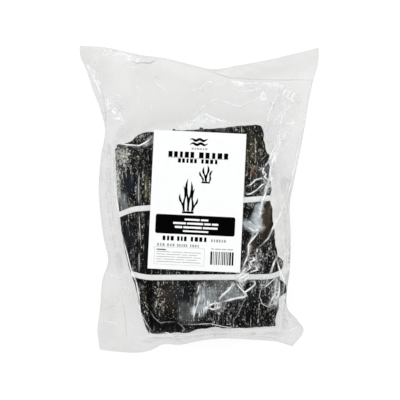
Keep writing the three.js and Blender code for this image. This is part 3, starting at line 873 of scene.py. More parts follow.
def clear_film():
    """Glossy clear film, with painted white highlights along its creases and in its glares, painted shade
    along its dark creases and where it is crumpled, darker along the bag's edge, and a little milky off the
    kelp.
    """
    finish = Finish("clear_film")
    stored, spread, times, most = finish.attribute, finish.spread, finish.times, finish.most
    # Painted highlights along the creases; the dark kinds give painted shade instead.
    core = spread(stored("crease"), 0.06, 0.38)
    broken = spread(finish.noise(8, 3.0), 0.38, 0.54, 0.55, 1)
    crease_glints = times(core, stored("crease_highlight"), broken)
    streaky = spread(finish.noise(7, 3.0, (0.4, 1, 1)), 0.3, 0.7, 0.05, 0.14)
    # Painted shade along the dark creases and where the film is crumpled; the film is also drawn darker along
    # the bag's edge, and greyer in the places listed for that.
    shaded = most(times(core, stored("crease_shade")), times(stored("edge_band"), 0.12),
                  times(stored("crumple"), 0.08), times(stored("greyed"), streaky))
    # Painted glints: wandering and straight glint lines where the film is crumpled, angular glint shards,
    # streaks of flames, and ragged flashes.
    patch = spread(finish.noise(14, 1.0), 0.45, 0.6)
    glint_lines = most(finish.glint_threads(9, 0.03, 0.8), finish.cracks(13, 0.5, (1, 0.6, 1)))
    glint_threads = times(glint_lines, stored("crumple"), patch)
    glinting_cells = spread(finish.cells(4.5, "F1", "Color", (1, 0.7, 1)), 0.68, 0.7)
    glint_shards = times(stored("glint_shards"), most(finish.cracks(6.0, 0.7), glinting_cells), patch)
    flames = times(stored("flames"), spread(finish.noise(2.2, 3.0, (1, 0.16, 1), 0.55), 0.46, 0.58))
    ragged = spread(finish.noise(5, 4.0, (1, 1, 1), 0.7), 0.42, 0.58, 0.25, 1)
    white = most(crease_glints, times(glint_threads, 0.8), glint_shards, flames, times(stored("flash"), ragged))
    # An even painted sheen, bluish where it is strong.
    sheen_veil = times(stored("sheen_veil"), spread(finish.noise(5, 3.0), 0.3, 0.7, 0.6, 1.2))
    normal = finish.bump(finish.plus(finish.noise(16, 3.0), times(glint_threads, 0.6)), 0.8, 0.35)
    clear = finish.node("ShaderNodeBsdfTransparent", Color=finish.mix_color(shaded, FILM_TINT, SHADED_FILM))
    gloss = finish.node("ShaderNodeBsdfGlossy", Roughness=0.12, Normal=normal)
    edge_on = finish.node("ShaderNodeLayerWeight", Blend=0.5, Normal=normal).outputs["Facing"]
    mirror = spread(finish.math("POWER", edge_on, 3), 0, 1, 0.012, 1)
    sheet = finish.mix_shader(mirror, clear.outputs[0], gloss.outputs[0])
    # The haze turns bluish under the painted sheen and white under the painted glints.
    haze_color = finish.mix_color(spread(sheen_veil, 0, 0.2), MILKY_FILM, BLUISH_SHEEN)
    haze_color = finish.mix_color(spread(white, 0.1, 0.6), haze_color, GLINT_WHITE)
    haze = finish.node("ShaderNodeBsdfDiffuse", Color=haze_color)
    # How much of the film is the diffuse haze: all the painted light above, and the milkiness of the film
    # itself.
    haze_and_painted_light = most(spread(white, 0, 1, 0.0015, 0.95), sheen_veil, times(stored("haze_and_painted_light"), 0.2))
    return finish.surface(finish.mix_shader(haze_and_painted_light, sheet, haze.outputs[0]))


KELP_BLACK = (0.0015, 0.0018, 0.0024)
KELP_GREY = (0.02, 0.021, 0.023)
# painted shade for the furrows between the ribs
FURROW_SHADE = (0.0015, 0.0015, 0.0015)
KELP_TINTS = {"brown": (0.056, 0.039, 0.022), "olive": (0.13, 0.12, 0.055), "rust": (0.3, 0.13, 0.05),
              "navy": (0.02, 0.026, 0.038)}
DIM_BLOOM = (0.2, 0.18, 0.14)
BRIGHT_BLOOM = (0.85, 0.85, 0.82)


def dried_kelp():
    """Blackish ribbed kelp with flecks and streaks of pale salt bloom, all drawn out along y, and painted
    shade in its furrows.
    """
    finish = Finish("dried_kelp")
    stored, spread, times, plus = finish.attribute, finish.spread, finish.times, finish.plus
    fibres = finish.noise(2.2, 3.0, (1, 0.1, 1), 0.6)
    flakes = finish.noise(2.9, 5.0, (1, 0.5, 1), 0.8)
    grains = finish.noise(1.5, 3.0, (1, 0.65, 1), 0.65)
    bands = finish.noise(7, 2.0, (1, 0.06, 1), 0.5)
    clusters = finish.noise(12, 4.0, (1, 0.45, 1), 0.65)
    mottle = finish.noise(8, 5.0, (1, 0.4, 1), 0.7)
    grooves = finish.noise(6.5, 2.0, (1, 0.05, 1), 0.5)
    ribbed = stored("ribbed")
    color = finish.mix_color(spread(mottle, 0.5, 0.7), KELP_BLACK, KELP_GREY)
    for kind, tone in KELP_TINTS.items():
        color = finish.mix_color(times(stored(kind), spread(mottle, 0.34, 0.56, 0.15, 1)), color, tone)
    banded = times(spread(clusters, 0.4, 0.58, 0.1, 1), spread(bands, 0.42, 0.58, 0.25, 1))
    crowding = plus(times(banded, 0.055), times(stored("bloom"), 0.15), times(stored("smooth"), -0.09))
    spots = spread(plus(finish.most(grains, flakes), crowding), 0.625, 0.665)
    ribs = plus(times(ribbed, 0.035), times(crowding, 0.5))
    streaks = spread(plus(fibres, ribs), 0.625, 0.68, 0, 0.8)
    bloom = finish.mix_color(spread(finish.noise(2.6, 2.0), 0.38, 0.66), DIM_BLOOM, BRIGHT_BLOOM)
    color = finish.mix_color(finish.most(spots, streaks), color, bloom)
    # Painted shade in the furrows, strongest where the kelp is ribbed.
    furrow_shade = times(spread(grooves, 0.36, 0.43, 1, 0), spread(ribbed, 0, 1, 0.4, 0.95))
    color = finish.mix_color(furrow_shade, color, FURROW_SHADE)
    normal = finish.bump(plus(times(fibres, 0.5), mottle), 1.2, 0.7)
    return finish.coat(color, 0.5, 0.06, Normal=normal)


def label_paper():
    """Smooth paper with the faintest mottle of its fibres."""
    finish = Finish("label_paper")
    fibres = finish.noise(0.9, 3.0, (1, 0.5, 1), 0.6)
    cloud = finish.times(fibres, finish.noise(18, 2.0))
    color = finish.mix_color(cloud, (0.9, 0.9, 0.9), (0.85, 0.85, 0.845))
    return finish.coat(color, 0.6, 0.15, Normal=finish.bump(fibres, 0.03, 0.4))


def print_ink(name, tone, thin_tone):
    """Ink that lies a little thinner here and there."""
    finish = Finish(name)
    cover = finish.spread(finish.noise(0.7, 3.0, rough=0.7), 0.58, 0.7)
    return finish.coat(finish.mix_color(cover, tone, thin_tone), 0.6, 0.0)


def strapping():
    """White plastic, a little cloudy and scuffed."""
    finish = Finish("white_strapping")
    scuffs = finish.spread(finish.noise(1.6, 3.0, (0.15, 1, 1)), 0.56, 0.7, 0, 0.35)
    color = finish.mix_color(finish.noise(10, 3.0), (0.97, 0.975, 0.97), (0.93, 0.94, 0.935))
    color = finish.mix_color(scuffs, color, (0.78, 0.79, 0.78))
    return finish.coat(color, 0.35, 0.5, Normal=finish.bump(scuffs, 0.05, 0.5))


# ---- The kelp ----
LEAF_COUNT = 21
# What each sheet of the stack is like all over, again and again up the stack.
LEAF_TONES = (
    {"smooth": 0.6}, {"brown": 0.9, "bloom": 0.1}, {"smooth": 0.9, "olive": 0.12},
    {"brown": 0.4, "bloom": 0.3}, {"navy": 0.6},
)
STACK_FOOT = 1.2
STACK_TOP = 79.0  # where the stack ends and the folded sheets on top of it begin
STACK_EDGE_STEP = 3.0  # between the points of a stacked sheet's outline
STACK_INSET = 4.5  # how far inside the bundle's plan the stack's sheets end
FOOT_INSET, FOOT_SHARE = 5, 0.12  # how much further the lowest ones do, in what share of the stack's height
STACK_SWELL = 3.0  # how much less those midway up do
STRAP_DRAW = 1.5  # how far the straps draw the sheets' edges in
# Places where one sheet of the stack sticks out: sheet, x, y, reach along the edge, and how far.
TABS = (
    (20, 77, 47, 9, 6), (15, 92, -99, 13, 7.5), (18, 90, -71, 12, 5.5), (19, -60, -142, 10, 5),
    (13, -64, -138, 8, 7), (20, -62, 70, 16, 4), (19, 2, 80, 4, 7), (10, -92, 20, 14, 3),
    (7, 88, 10, 12, 4), (20, -28, 77, 5, 5), (20, -30, -146, 60, 6),
)
WAIST = (92, -28, 68, 4.2)  # where the stack is hollow along one side: x, y, reach, and how far

LEFT_SHEET = (
    ((-93, 56), (-91.5, 22), (-89.3, -6), (-87.1, -24), (-82.7, -53), (-76.1, -79), (-69.4, -101),
     (-65, -123), (-60, -138), (-55.5, -148)),
    ((-55.5, -148), (-54.6, -138), (-58.8, -123), (-63.5, -104), (-65, -80), (-64.5, 0), (-65, 61)),
    ((-65, 61), (-75, 62), (-88, 61), (-93, 56)),
)
SECOND_SHEET = (
    ((-66, 62), (-66, 30), (-65.5, 0), (-65.5, -50), (-64, -100), (-61, -130), (-55, -147)),
    ((-55, -147), (-54, -130), (-57.5, -110), (-57, -90), (-54, -80), (-49, -60), (-49, 64)),
    ((-49, 64), (-66, 62)),
)
MAIN_SHEET = (
    ((-45, -134), (-51, -120), (-52, -100), (-53, -88), (-54, -40), (-55, 20), (-52, 74)),
    ((-52, 74), (-43, 75.5), (-21, 76.5), (1, 77.5), (22.7, 79), (44.7, 81.6), (62, 82.5)),
    ((62, 82.5), (68, 81.5), (70, 77)),
    ((70, 77), (71, 66), (73, 44), (75.4, 22), (77.6, 0), (82, -33), (84, -55), (84.5, -70), (82, -88),
     (83, -110), (84.2, -139.2)),
    ((84.2, -139.2), (45, -141.4), (25, -141.2), (12, -137.5), (6, -135.5), (-16, -136.5), (-27, -131.5),
     (-45, -134)),
)
SCRAP = (
    ((-75, 64), (-71, 69), (-62, 74), (-49, 75)), ((-49, 75), (-49, 66), (-59, 65), (-67, 62), (-75, 64)),
)
# The folded sheets on top: name, sides, how far the middle lies under the film, thickness, how round the
# edge is, and seed.
FOLDED_SHEETS = (
    ("kelp_left_fold", LEFT_SHEET, 6.3, 6.5, 6.0, 201),
    ("kelp_second_fold", SECOND_SHEET, 4.2, 4.4, 3.0, 202),
    ("kelp_scrap", SCRAP, 4.5, 2.5, 1.5, 204),
    ("kelp_top_sheet", MAIN_SHEET, 2.8, 2.4, 1.6, 203),
)
GRAIN_HEIGHT = 0.9  # of a folded sheet's ridges
FOLDED_EDGE_STEP, FOLDED_STEP = 2.5, 2.0  # of a folded sheet's mesh, along its outline and inside
TOP_ROOM, LOWER_ROOM = 0.6, 1.8  # the least between the film and a sheet's upper and lower face
# Where the kelp's face has a look of its own: x, y, reach in x and in y, and strength.
TINTS = {
    "bloom": (
        # The first spot, on top of the left fold, is also strong enough to stand in for a pale glare off the
        # film there: partly painted light.
        (-84, 48, 14, 15, 1.0), (-90, 20, 5, 28, 1.0), (-68, 9, 4, 18, 0.5), (-68, -52, 6, 26, 0.3),
        (-73, -80, 7, 12, 0.5), (0, -110, 10, 20, 0.15), (62, 60, 10, 20, 0.15), (-66, -100, 4, 16, 0.7),
        (-62, 70, 14, 6, 0.5), (56, -2, 10, 10, 0.35), (70, -60, 10, 12, 0.4), (14, -98, 22, 9, 0.15),
        (-45, -112, 8, 26, 0.3),
    ),
    "brown": (
        (73, -25, 10, 36, 1.0), (-36, -108, 20, 28, 0.6), (56, 42, 16, 30, 0.6), (57, -55, 9, 22, 1.0),
        (-60, -108, 5, 14, 0.5), (56, -68, 9, 12, 0.8),
    ),
    "olive": (
        (-58, 13, 4, 22, 1.0), (55, 60, 17, 24, 0.35),
    ),
    "rust": (
        (60, 32, 4, 8, 0.9), (56, -63, 6, 7, 0.6),
    ),
    "navy": (
        (-77, 17, 8, 20, 1.0), (-78, -45, 10, 30, 0.8), (76, 46, 5, 8, 1.0), (-24, -102, 14, 24, 0.6),
    ),
    "smooth": (
        (73, -25, 10, 36, 1.0), (-77, 17, 8, 22, 0.75), (-80, -42, 8, 30, 0.75), (57, -48, 8, 20, 0.8),
        (60, -14, 7, 16, 0.6), (58, 66, 18, 16, 0.35), (-57, -40, 4, 30, 0.5), (50, -126, 16, 9, 0.4),
        (-27, -108, 13, 30, 0.5), (-18, -110, 10, 26, 0.55),
    ),
    "ribbed": (
        (-78, -30, 24, 130, 1.0), (-58, -30, 10, 130, 1.0), (60, 40, 16, 50, 0.5),
    ),
}


def make_leaf(name, outline, base, thickness, spacing, seed, material, relief=0.0, round_edge=3.0):
    """One dried sheet with a rounded wavy edge. Base is a height, or a function of the place."""
    def middle(points):
        level = base(points) if callable(base) else base
        return level + 0.9 * ripples(points, 50, seed * 0.05, 1.7)

    def belly(points):
        return np.sqrt(1 - (1 - np.clip(to_loop(points, loop) / round_edge, 0, 1)) ** 2)

    def grain(points):
        if not relief:
            return 0
        ridges = 1 - 2 * np.abs(ripples(points, 5.0, seed, 5.0))
        swell = 0.6 * ripples(points, 13, seed + 3, 2.5) + 0.3 * ripples(points, 2.5, seed + 5, 3)
        return relief * (0.55 * ridges + swell)

    def above(points):
        top = middle(points) + thickness * 0.5 * belly(points) + grain(points) * belly(points)
        return np.minimum(top, roof(points) - TOP_ROOM)

    def below(points):
        return np.minimum(middle(points) - thickness * 0.5 * belly(points), roof(points) - LOWER_ROOM)

    outline = untangled(outline)
    loop = np.column_stack([outline, middle(outline)])
    fill, fill_below = scatter(loop, spacing, seed), scatter(loop, HIDDEN_STEP, seed)
    return mesh_object(name, *shell(loop, above, below, fill, fill_below), material)


def tint(leaf, tones):
    """Keeps on a sheet where it has a look of its own, over the tones that it has all over."""
    plan = plan_of(leaf)
    for kind, spots in TINTS.items():
        most = np.full(len(plan), tones.get(kind, 0.0))
        for x, y, wide, long, strength in spots:
            away = np.hypot((plan[:, 0] - x) / wide, (plan[:, 1] - y) / long)
            most = np.maximum(most, strength * fade(away, 1, 1.25))
        store(leaf, kind, most)


def stack_edge(plan, sheet):
    """How far a sheet of the stack reaches past the bundle's plan, at each of the plan's points."""
    level = sheet / (LEAF_COUNT - 1)
    foot = FOOT_INSET * max(0, FOOT_SHARE - level) / FOOT_SHARE
    inset = STACK_INSET + foot - STACK_SWELL * math.sin(math.pi * level)
    edge = 2.6 * ripples(plan, 22, sheet + 1) + 1.4 * ripples(plan, 6, sheet + 40) - inset
    for x, y, reach, out in [place for which, *place in TABS if which == sheet]:
        edge += out * fade(np.hypot(*(plan - (x, y)).T), reach, 1.2)
    x, y, reach, depth = WAIST
    edge -= depth * fade(np.hypot(*(plan - (x, y)).T), reach, 1.3)
    return edge - STRAP_DRAW * strap_dip(plan)


def make_kelp():
    kelp = dried_kelp()
    leaves = []
    pitch = (STACK_TOP - STACK_FOOT) / LEAF_COUNT
    plan = smooth_loop(BUNDLE_SIDES, STACK_EDGE_STEP)
    away = outward(plan)
    for k in range(LEAF_COUNT):
        outline = plan + away * stack_edge(plan, k)[:, None]
        height = STACK_FOOT + (k + 0.5) * pitch
        leaf = make_leaf(f"kelp_sheet_{k + 1}", outline, height, pitch * 0.8, HIDDEN_STEP, 100 + k, kelp)
        tint(leaf, LEAF_TONES[k % len(LEAF_TONES)])
        leaves.append(leaf)
    for name, sides, sunk, thickness, edge, seed in FOLDED_SHEETS:
        outline = smooth_loop(sides, FOLDED_EDGE_STEP)
        outline = outline + outward(outline) * (0.7 * ripples(outline, 5, seed))[:, None]

        def base(points, sunk=sunk):
            return roof(points) - sunk

        leaf = make_leaf(name, outline, base, thickness, FOLDED_STEP, seed, kelp, GRAIN_HEIGHT, edge)
        tint(leaf, {})
        leaves.append(leaf)
    return leaves


# ---- The straps ----
def section_hull(pieces, start, end, width):
    """The outline of the pieces in the upright plane through a line, pulled tight: along the line, and
    height. It also gives the line's direction and the direction beside it."""
    way = (end - start) / np.hypot(*(end - start))
    side = np.array([-way[1], way[0]])
    found = []
    for piece in pieces:
        points = np.array([vertex.co[:] for vertex in piece.data.vertices]) / MM
        close = np.abs((points[:, :2] - start) @ side) < width
        found.append(np.column_stack([(points[close, :2] - start) @ way, points[close, 2]]))
    found = np.concatenate(found)
    return found[convex_hull_2d([Vector(point) for point in found])], way, side


def rounded(loop, times):
    """Cuts a closed line's corners, again and again."""
    for _ in range(times):
        following = np.roll(loop, -1, 0)
        loop = np.stack([between(loop, following, 0.25), between(loop, following, 0.75)], 1).reshape(-1, 2)
    return loop


OUTER_SIDE = 5  # the number of the section's side that faces outwards


def strap_section():
    """The strap's section, with its corners cut off: across, and up from its inner face."""
    w, t, bevel = STRAP_WIDTH / 2, STRAP_THICKNESS, 0.2
    return ((-w, bevel), (-w + bevel, 0), (w - bevel, 0), (w, bevel),
            (w, t - bevel), (w - bevel, t), (-w + bevel, t), (-w, t - bevel))


def make_strap(name, line, bends, pieces, material):
    """A flat strap pulled tight round the kelp, which turns aside at its two sides."""
    start, end = np.array(line, float)
    hull, way, side = section_hull(pieces, start, end, STRAP_GRIP)
    hull = rounded(hull[::turned_left(hull)], times=3)
    spacing = np.hypot(*(np.roll(hull, -1, 0) - hull).T)
    travelled = np.concatenate([[0], np.cumsum(spacing)])
    stops = np.linspace(0, travelled[-1], STRAP_STOPS, endpoint=False)
    closed = np.concatenate([hull, hull[:1]])
    path = np.column_stack([np.interp(stops, travelled, column) for column in closed.T])
    length = np.hypot(*(end - start))
    section = strap_section()
    count = len(section)
    points, faces = [], []
    for i, ((along, z), (out_x, out_z)) in enumerate(zip(path, outward(path))):
        aside = 0.5 * noise.noise(Vector((i * 0.09, 5.5, line[0][1])))
        for bend, reach, travel in zip(bends, BEND_LENGTHS, (along, length - along)):
            aside += bend * max(0, 1 - travel / reach) ** 1.5
        for across, lift in section:
            rise = lift + STRAP_SLACK
            x, y = start + way * (along + out_x * rise) + side * (across + aside)
            under_film = roof(np.array([[x, y]]))[0] - STRAP_ROOM - (STRAP_THICKNESS - lift)
            points.append((x, y, min(under_film, max(STRAP_FOOT, z + out_z * rise))))
        following = (i + 1) % len(path)
        for j in range(count):
            k = (j + 1) % count
            faces.append([i * count + j, following * count + j, following * count + k, i * count + k])
    strap = mesh_object(name, points, faces, material)
    mark_outer_faces(strap.data, count)
    return strap


def mark_outer_faces(mesh, count):
    """Says for each face whether it is on the outer side, and which way it faces and heads."""
    corners = [[mesh.vertices[i].co for i in face.vertices] for face in mesh.polygons]
    outer = [face.index % count == OUTER_SIDE for face in mesh.polygons]
    facing = [face.normal[:] for face in mesh.polygons]
    heading = [(following - here).normalized()[:] for here, following, *_ in corners]
    mesh.attributes.new("outer", "BOOLEAN", "FACE").data.foreach_set("value", outer)
    mesh.attributes.new("facing", "FLOAT_VECTOR", "FACE").data.foreach_set("vector", np.ravel(facing))
    mesh.attributes.new("heading", "FLOAT_VECTOR", "FACE").data.foreach_set("vector", np.ravel(heading))


# The strapping's raised pattern, in millimetres.
EMBOSSING = {"Lozenge Radius": 0.55, "Lozenge Height": 0.1, "Row Width": 4.2, "Row Pitch": 1.6,
             "Lozenges Across": 4}


def embossing_tree():
    """A tree that covers a strap's outer face with rows of raised lozenges."""
    tree = bpy.data.node_groups.new("strap_embossing", "GeometryNodeTree")
    tree.interface.new_socket("Strap", in_out="INPUT", socket_type="NodeSocketGeometry")
    for name, value in EMBOSSING.items():
        kind = "NodeSocketInt" if isinstance(value, int) else "NodeSocketFloat"
        tree.interface.new_socket(name, in_out="INPUT", socket_type=kind)
    tree.interface.new_socket("Material", in_out="INPUT", socket_type="NodeSocketMaterial")
    tree.interface.new_socket("Strap", in_out="OUTPUT", socket_type="NodeSocketGeometry")
    given = tree.nodes.new("NodeGroupInput").outputs

    def kept(name, kind):
        node = add_node(tree, "GeometryNodeInputNamedAttribute", {"data_type": kind}, Name=name)
        return [socket for socket in node.outputs if socket.enabled][0]

    radius = given["Lozenge Radius"]
    tip = add_node(tree, "ShaderNodeMath", {"operation": "MULTIPLY"}, i0=radius, i1=0.5).outputs[0]
    lozenge = add_node(tree, "GeometryNodeMeshCone", {"fill_type": "NGON"}, Vertices=4, Radius_Top=tip,
                       Radius_Bottom=radius, Depth=given["Lozenge Height"]).outputs["Mesh"]
    rows = add_node(tree, "GeometryNodeMeshGrid", Size_X=given["Row Width"], Size_Y=given["Row Pitch"],
                    Vertices_X=given["Lozenges Across"], Vertices_Y=2).outputs["Mesh"]
    patch = add_node(tree, "GeometryNodeInstanceOnPoints", Points=rows, Instance=lozenge).outputs["Instances"]
    patch = add_node(tree, "GeometryNodeRealizeInstances", Geometry=patch).outputs["Geometry"]
    places = add_node(tree, "GeometryNodeMeshToPoints", {"mode": "FACES"}, Mesh=given["Strap"],
                      Selection=kept("outer", "BOOLEAN")).outputs["Points"]
    upright = add_node(tree, "FunctionNodeAlignRotationToVector", {"axis": "Z"},
                       Vector=kept("facing", "FLOAT_VECTOR")).outputs["Rotation"]
    along = add_node(tree, "FunctionNodeAlignRotationToVector", {"axis": "Y", "pivot_axis": "Z"},
                     Rotation=upright, Vector=kept("heading", "FLOAT_VECTOR")).outputs["Rotation"]
    pattern = add_node(tree, "GeometryNodeInstanceOnPoints", Points=places, Instance=patch, Rotation=along)
    both = tree.nodes.new("GeometryNodeJoinGeometry")
    tree.links.new(pattern.outputs["Instances"], both.inputs["Geometry"])
    tree.links.new(given["Strap"], both.inputs["Geometry"])
    solid = add_node(tree, "GeometryNodeRealizeInstances", Geometry=both.outputs[0]).outputs[0]
    coated = add_node(tree, "GeometryNodeSetMaterial", Geometry=solid, Material=given["Material"])
    add_node(tree, "NodeGroupOutput", Strap=coated.outputs[0])
    return tree


def emboss(strap, tree):
    """Adds the raised pattern to a strap, as plain mesh."""
    modifier = strap.modifiers.new("embossing", "NODES")
    modifier.node_group = tree
    values = {name: value if isinstance(value, int) else value * MM for name, value in EMBOSSING.items()}
    values["Material"] = strap.data.materials[0]
    for socket in tree.interface.items_tree:
        if socket.in_out == "INPUT" and socket.name in values:
            modifier[socket.identifier] = values[socket.name]
    shown = strap.evaluated_get(bpy.context.evaluated_depsgraph_get())
    solid = bpy.data.meshes.new_from_object(shown)
    strap.modifiers.clear()
    strap.data = solid
    for name in ("outer", "facing", "heading"):
        solid.attributes.remove(solid.attributes[name])


# ---- The label ----
def label_face(points):
    return roof(points) + LABEL_GAP + LABEL_THICKNESS


def make_label():
    w, h = LABEL_SIZE[0] / 2, LABEL_SIZE[1] / 2
    loop = from_label(polygon(((-w, -h), (w, -h), (w, h), (-w, h)), LABEL_EDGE_STEP))
    fill = scatter(loop, LABEL_STEP, seed=31)
    body = slab(loop, label_face, lambda p: label_face(p) - LABEL_THICKNESS, fill)
    return mesh_object("paper_label", *body, label_paper())


def polygon(corners, step):
    """A closed outline with straight sides, as points about a step apart."""
    return kinked_line((*corners, corners[0]), step)[:-1]


def bar(u, v, width, height, corner=0.3):
    """A printed bar with round corners, as an outline on the label. u and v are its middle."""
    points = []
    for quarter, (x, y) in enumerate(((1, 1), (-1, 1), (-1, -1), (1, -1))):
        for turn in (0, 45, 90):
            angle = math.radians(90 * quarter + turn)
            points.append((u + x * (width / 2 - corner) + corner * math.cos(angle),
                           v + y * (height / 2 - corner) + corner * math.sin(angle)))
    return np.array(points)


def words(v, left, right, height, lengths, gap=1.2):
    """A line of bars in the place of words, which fill it from left to right."""
    room = (right - left - gap * (len(lengths) - 1)) / sum(lengths)
    for length in lengths:
        yield bar(left + length * room / 2, v, length * room, height)
        left += length * room + gap


def stroke(knots, widths):
    """A brush stroke along knots, as wide as the widths say at even steps along it."""
    line = smooth_line(knots, 0.8)
    half = np.interp(np.linspace(0, 1, len(line)), np.linspace(0, 1, len(widths)), widths) / 2
    half = np.maximum(half, 0.08)
    return np.concatenate([beside(line, -half), beside(line, half)[::-1]])


def blade(u, v, height, lean, width, bend):
    """One brushed kelp blade, which sways as it rises."""
    shares = np.linspace(0, 1, 8)
    knots = [(u + lean * share**1.5 + bend * math.sin(6.5 * share), v + height * share) for share in shares]
    return stroke(knots, (0.25 * width, 0.8 * width, width, 0.65 * width, 1.05 * width, 0.8 * width, 0.1))


def tuft(u, v, blades):
    """Blades that rise from one foot. Each is its height, lean, width and bend."""
    for k, (height, lean, width, bend) in enumerate(blades):
        yield blade(u + 2.3 * (k - (len(blades) - 1) / 2), v, height, lean, width, bend)


def blocks(v, height, spans):
    """Upright blocks in the place of letters: spans of left, right and count."""
    for left, right, count in spans:
        pitch = (right - left) / count
        for k in range(count):
            yield bar(left + (k + 0.5) * pitch, v, pitch * (0.66, 0.52, 0.74)[(k + count) % 3], height, 0.15)


def waves(u, v, width, count, pitch):
    """Wavy lines one above another."""
    steps = np.linspace(-width / 2, width / 2, 13)
    for row in range(count):
        knots = [(u + x, v + row * pitch + 0.9 * math.sin(x * 0.75 + row)) for x in steps]
        yield stroke(knots, (0.4, 2.6, 2.8, 2.6, 0.4))


def printed(name, shapes, material, lift):
    """Flat shapes printed on the label."""
    bodies = []
    for shape in shapes:
        loop = untangled(from_label(shape)[::turned_left(shape)])
        sides = zip(loop, np.roll(loop, -1, 0))
        loop = np.concatenate([kinked_line(side, LABEL_EDGE_STEP)[:-1] for side in sides])
        wide = np.ptp(loop[:, 0]) > WIDE_PRINT
        fill = scatter(loop, LABEL_STEP, seed=5) if wide else np.zeros((0, 2))
        bodies.append(slab(loop, lambda p: label_face(p) + lift, lambda p: label_face(p) + INK_FOOT, fill))
    return mesh_object(name, *joined(bodies), material)


WIDE_PRINT = 30  # a shape wider than this has points inside too, to follow the label's curve
INK_FOOT, INK_TOP, WHITE_INK_TOP = 0.01, 0.05, 0.1  # over the label's face
WAVES = (-0.9, 62.6, 20, 2, 4.6)
# Lines of blocks, from the label's middle: how far up, block height, and spans of left, right and count.
TITLE = (50.5, 6.4, ((-34.5, -4.5, 5), (-1, 33, 5)))
SUBTITLE = (43.8, 4.6, ((-23.5, -1.5, 5), (1.5, 21.5, 4)))
WEIGHT = (-41.9, 5.0, ((-36.5, -23, 3), (-20.5, -9, 3), (-6, 13.5, 4)))
MAKER = (57.4, 1.9, ((-9, 9, 6),))
METRIC_WEIGHT = (-42.6, 3.0, ((17, 34, 6),))
NOTE = (-49.3, 3.0, ((-42, -33, 3), (-31, -22, 3), (-20, -8, 5), (-6, 5, 4)))
# Lines of bars: how far up, left, right, bar height, and lengths.
ADDRESS = (
    (-20.6, -12.6, 13.4, 2.0, (4, 2)), (-24.9, -25, 24.5, 2.2, (4, 5, 2, 2)),
    (-29.2, -23, 24, 2.2, (2, 5, 4)), (-33.4, -14, 14, 1.8, (1,)),
)
CODE_HEADING = (-51.6, 18, 42, 1.0, (2, 4, 3, 4))
BOX_LEFT = -41.8
BOX_HEADING = (-54.6, BOX_LEFT, -31.5, 1.1, (1,))
BOX_ROWS = ((4, 3, 5), (3, 5, 2, 3), (5, 4, 2), (2, 4, 3, 4), (4, 3))
BOX_TOP, BOX_PITCH, BOX_BAR = -57, 2.7, 0.62  # of those rows: the first one, their spacing and a bar's height
BOX_RIGHTS = (7, 3)  # where they end, in turn
# Bars: middle, width, height and corner.
BLACK_FIELD = (-0.7, -26.4, 87.4, 21.2, 2.0)
TITLE_RULE = (-1, 46.9, 66, 0.6, 0.1)
BOX_RULES = (
    (-16.6, -51.7, 55.2, 0.35, 0.1), (-16.6, -70.8, 55.2, 0.35, 0.1),
    (-44.0, -61.2, 0.35, 19.2, 0.1), (10.8, -61.2, 0.35, 19.2, 0.1),
)
# Tufts of kelp: the blades' foot, their height, lean, width and bend, and the ground under them.
TUFTS = (
    ((8.5, 21), ((12, -3.5, 2.1, 0.9), (17, -1.5, 2.3, 1.1), (19, 0.5, 2.4, -1.1), (13.5, 3.5, 2.1, 0.9)),
     (8.5, 20.8, 9.5, 1.8, 0.8)),
    ((-9.5, -12.5), ((20, -4, 2.3, 1.2), (29, -2.2, 2.5, -1.3), (37, -0.6, 2.7, 1.4), (34, 1.4, 2.6, -1.3),
                     (26, 2.8, 2.5, 1.3), (16, 4.5, 2.2, -1.0)),
     (-9.5, -12.9, 13, 2.2, 1.0)),
)
CODE_LEFT, CODE_RIGHT, CODE_MIDDLE, CODE_HEIGHT = 17.5, 42, -61.6, 14.6
# Each ink's tone, and its tone where it lies thin.
BLACK_INK = ((0.0015, 0.0015, 0.0015), (0.004, 0.004, 0.004))
GREY_INK = ((0.34, 0.34, 0.35), (0.46, 0.46, 0.47))
WHITE_INK = ((0.88, 0.88, 0.88), (0.8, 0.8, 0.8))


def bar_code():
    """Upright bars of mixed widths, which stand for no number."""
    draw = np.random.default_rng(8)
    u = CODE_LEFT
    while u < CODE_RIGHT:
        width = draw.choice((0.8, 1.2, 2.0))
        yield bar(u + width / 2, CODE_MIDDLE, width, CODE_HEIGHT, 0.1)
        u += width + draw.choice((0.8, 1.3))


def make_print():
    black = [*waves(*WAVES), *blocks(*TITLE), *blocks(*SUBTITLE), *blocks(*WEIGHT), bar(*BLACK_FIELD),
             *words(*BOX_HEADING), *bar_code()]
    for foot, blades, ground in TUFTS:
        black += [bar(*ground), *tuft(*foot, blades)]
    grey = [*blocks(*NOTE), *blocks(*MAKER), *blocks(*METRIC_WEIGHT), bar(*TITLE_RULE),
            *words(*CODE_HEADING)]
    grey += [bar(*rule) for rule in BOX_RULES]
    for row, lengths in enumerate(BOX_ROWS):
        grey += words(BOX_TOP - BOX_PITCH * row, BOX_LEFT, BOX_RIGHTS[row % 2], BOX_BAR, lengths)
    white = [shape for line in ADDRESS for shape in words(*line)]
    return [printed("label_black_print", black, print_ink("black_ink", *BLACK_INK), INK_TOP),
            printed("label_grey_print", grey, print_ink("grey_ink", *GREY_INK), INK_TOP),
            printed("label_white_print", white, print_ink("white_ink", *WHITE_INK), WHITE_INK_TOP)]


# ---- The room ----
FLOOR_REACH = 4000
FLOOR_LEVEL = -0.3
CAMERA_PLACE = (0.0008, -0.0002, 1.4)  # in metres
CAMERA_LENS, SENSOR_WIDTH = 107.6, 36
# Four soft lights, in metres and watts: name, place, size and power.
SOFTBOXES = (
    ("left_box", (-1.25, 0.3, 1.05), (1.2, 2.2), 10.2), ("right_box", (1.25, 0.25, 1.0), (1.1, 2.1), 9.1),
    ("head_box", (0.1, 1.3, 1.1), (2.2, 1.1), 10.0), ("foot_box", (-0.1, -1.3, 1.1), (2.1, 1.0), 7.4),
)


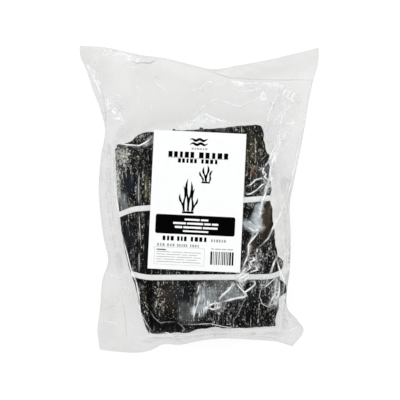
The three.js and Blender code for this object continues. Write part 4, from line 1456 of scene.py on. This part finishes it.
def make_room():
    scene = bpy.context.scene
    camera = bpy.data.objects.new("camera", bpy.data.cameras.new("camera"))
    camera.location = CAMERA_PLACE
    camera.data.lens = CAMERA_LENS
    camera.data.sensor_width = SENSOR_WIDTH
    scene.collection.objects.link(camera)
    scene.camera = camera
    sides = ((-1, -1), (1, -1), (1, 1), (-1, 1))
    corners = [(x * FLOOR_REACH, y * FLOOR_REACH, FLOOR_LEVEL) for x, y in sides]
    mesh_object("floor", corners, [(0, 1, 2, 3)], glowing_table())
    for name, place, size, power in SOFTBOXES:
        light = bpy.data.lights.new(name, "AREA")
        light.shape = "RECTANGLE"
        light.size, light.size_y = size
        light.energy = power
        lamp = bpy.data.objects.new(name, light)
        lamp.location = place
        lamp.rotation_euler = (-Vector(place)).to_track_quat("-Z", "Y").to_euler()
        scene.collection.objects.link(lamp)
    scene.world = dim_overhead_world()
    scene.view_settings.view_transform = "Standard"
    scene.view_settings.look = "None"


def glowing_table():
    """A table that glows, so that hardly any shadow lies on it."""
    finish = Finish("glowing_table")
    return finish.coat((0.2, 0.2, 0.2, 1), 0.9, 0.0, Emission_Color=(1, 1, 1, 1), Emission_Strength=0.85)


def dim_overhead_world():
    """Pale all round and dim straight above, so that level film stays clear."""
    world = bpy.data.worlds.new("room")
    world.use_nodes = True
    tree = world.node_tree
    way = add_node(tree, "ShaderNodeTexCoord").outputs["Generated"]
    height = add_node(tree, "ShaderNodeSeparateXYZ", Vector=way).outputs["Z"]
    tone = add_node(tree, "ShaderNodeMapRange", Value=height, From_Min=0.8, From_Max=0.97,
                    To_Min=0.6, To_Max=0.05)
    background = tree.nodes["Background"].inputs
    tree.links.new(tone.outputs["Result"], background["Strength"])
    background["Color"].default_value = (0.97, 0.98, 1, 1)
    return world


film = make_film()
leaves = make_kelp()
strap_white = strapping()
straps = [make_strap(f"strap_{i + 1}", line, bends, leaves, strap_white)
          for i, (line, bends) in enumerate(zip(STRAP_LINES, STRAP_BENDS))]
pattern = embossing_tree()
for strap in straps:
    emboss(strap, pattern)
label = make_label()
for piece in (film, *leaves, *straps):
    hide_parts("bag")
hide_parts("label")
prints = make_print()
make_room()
slots = {"film": [film], "paper": [label], "kelp": leaves, "strap": straps, "ink": prints}
for slot, pieces in slots.items():
    for piece in pieces:
        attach(piece, "root")
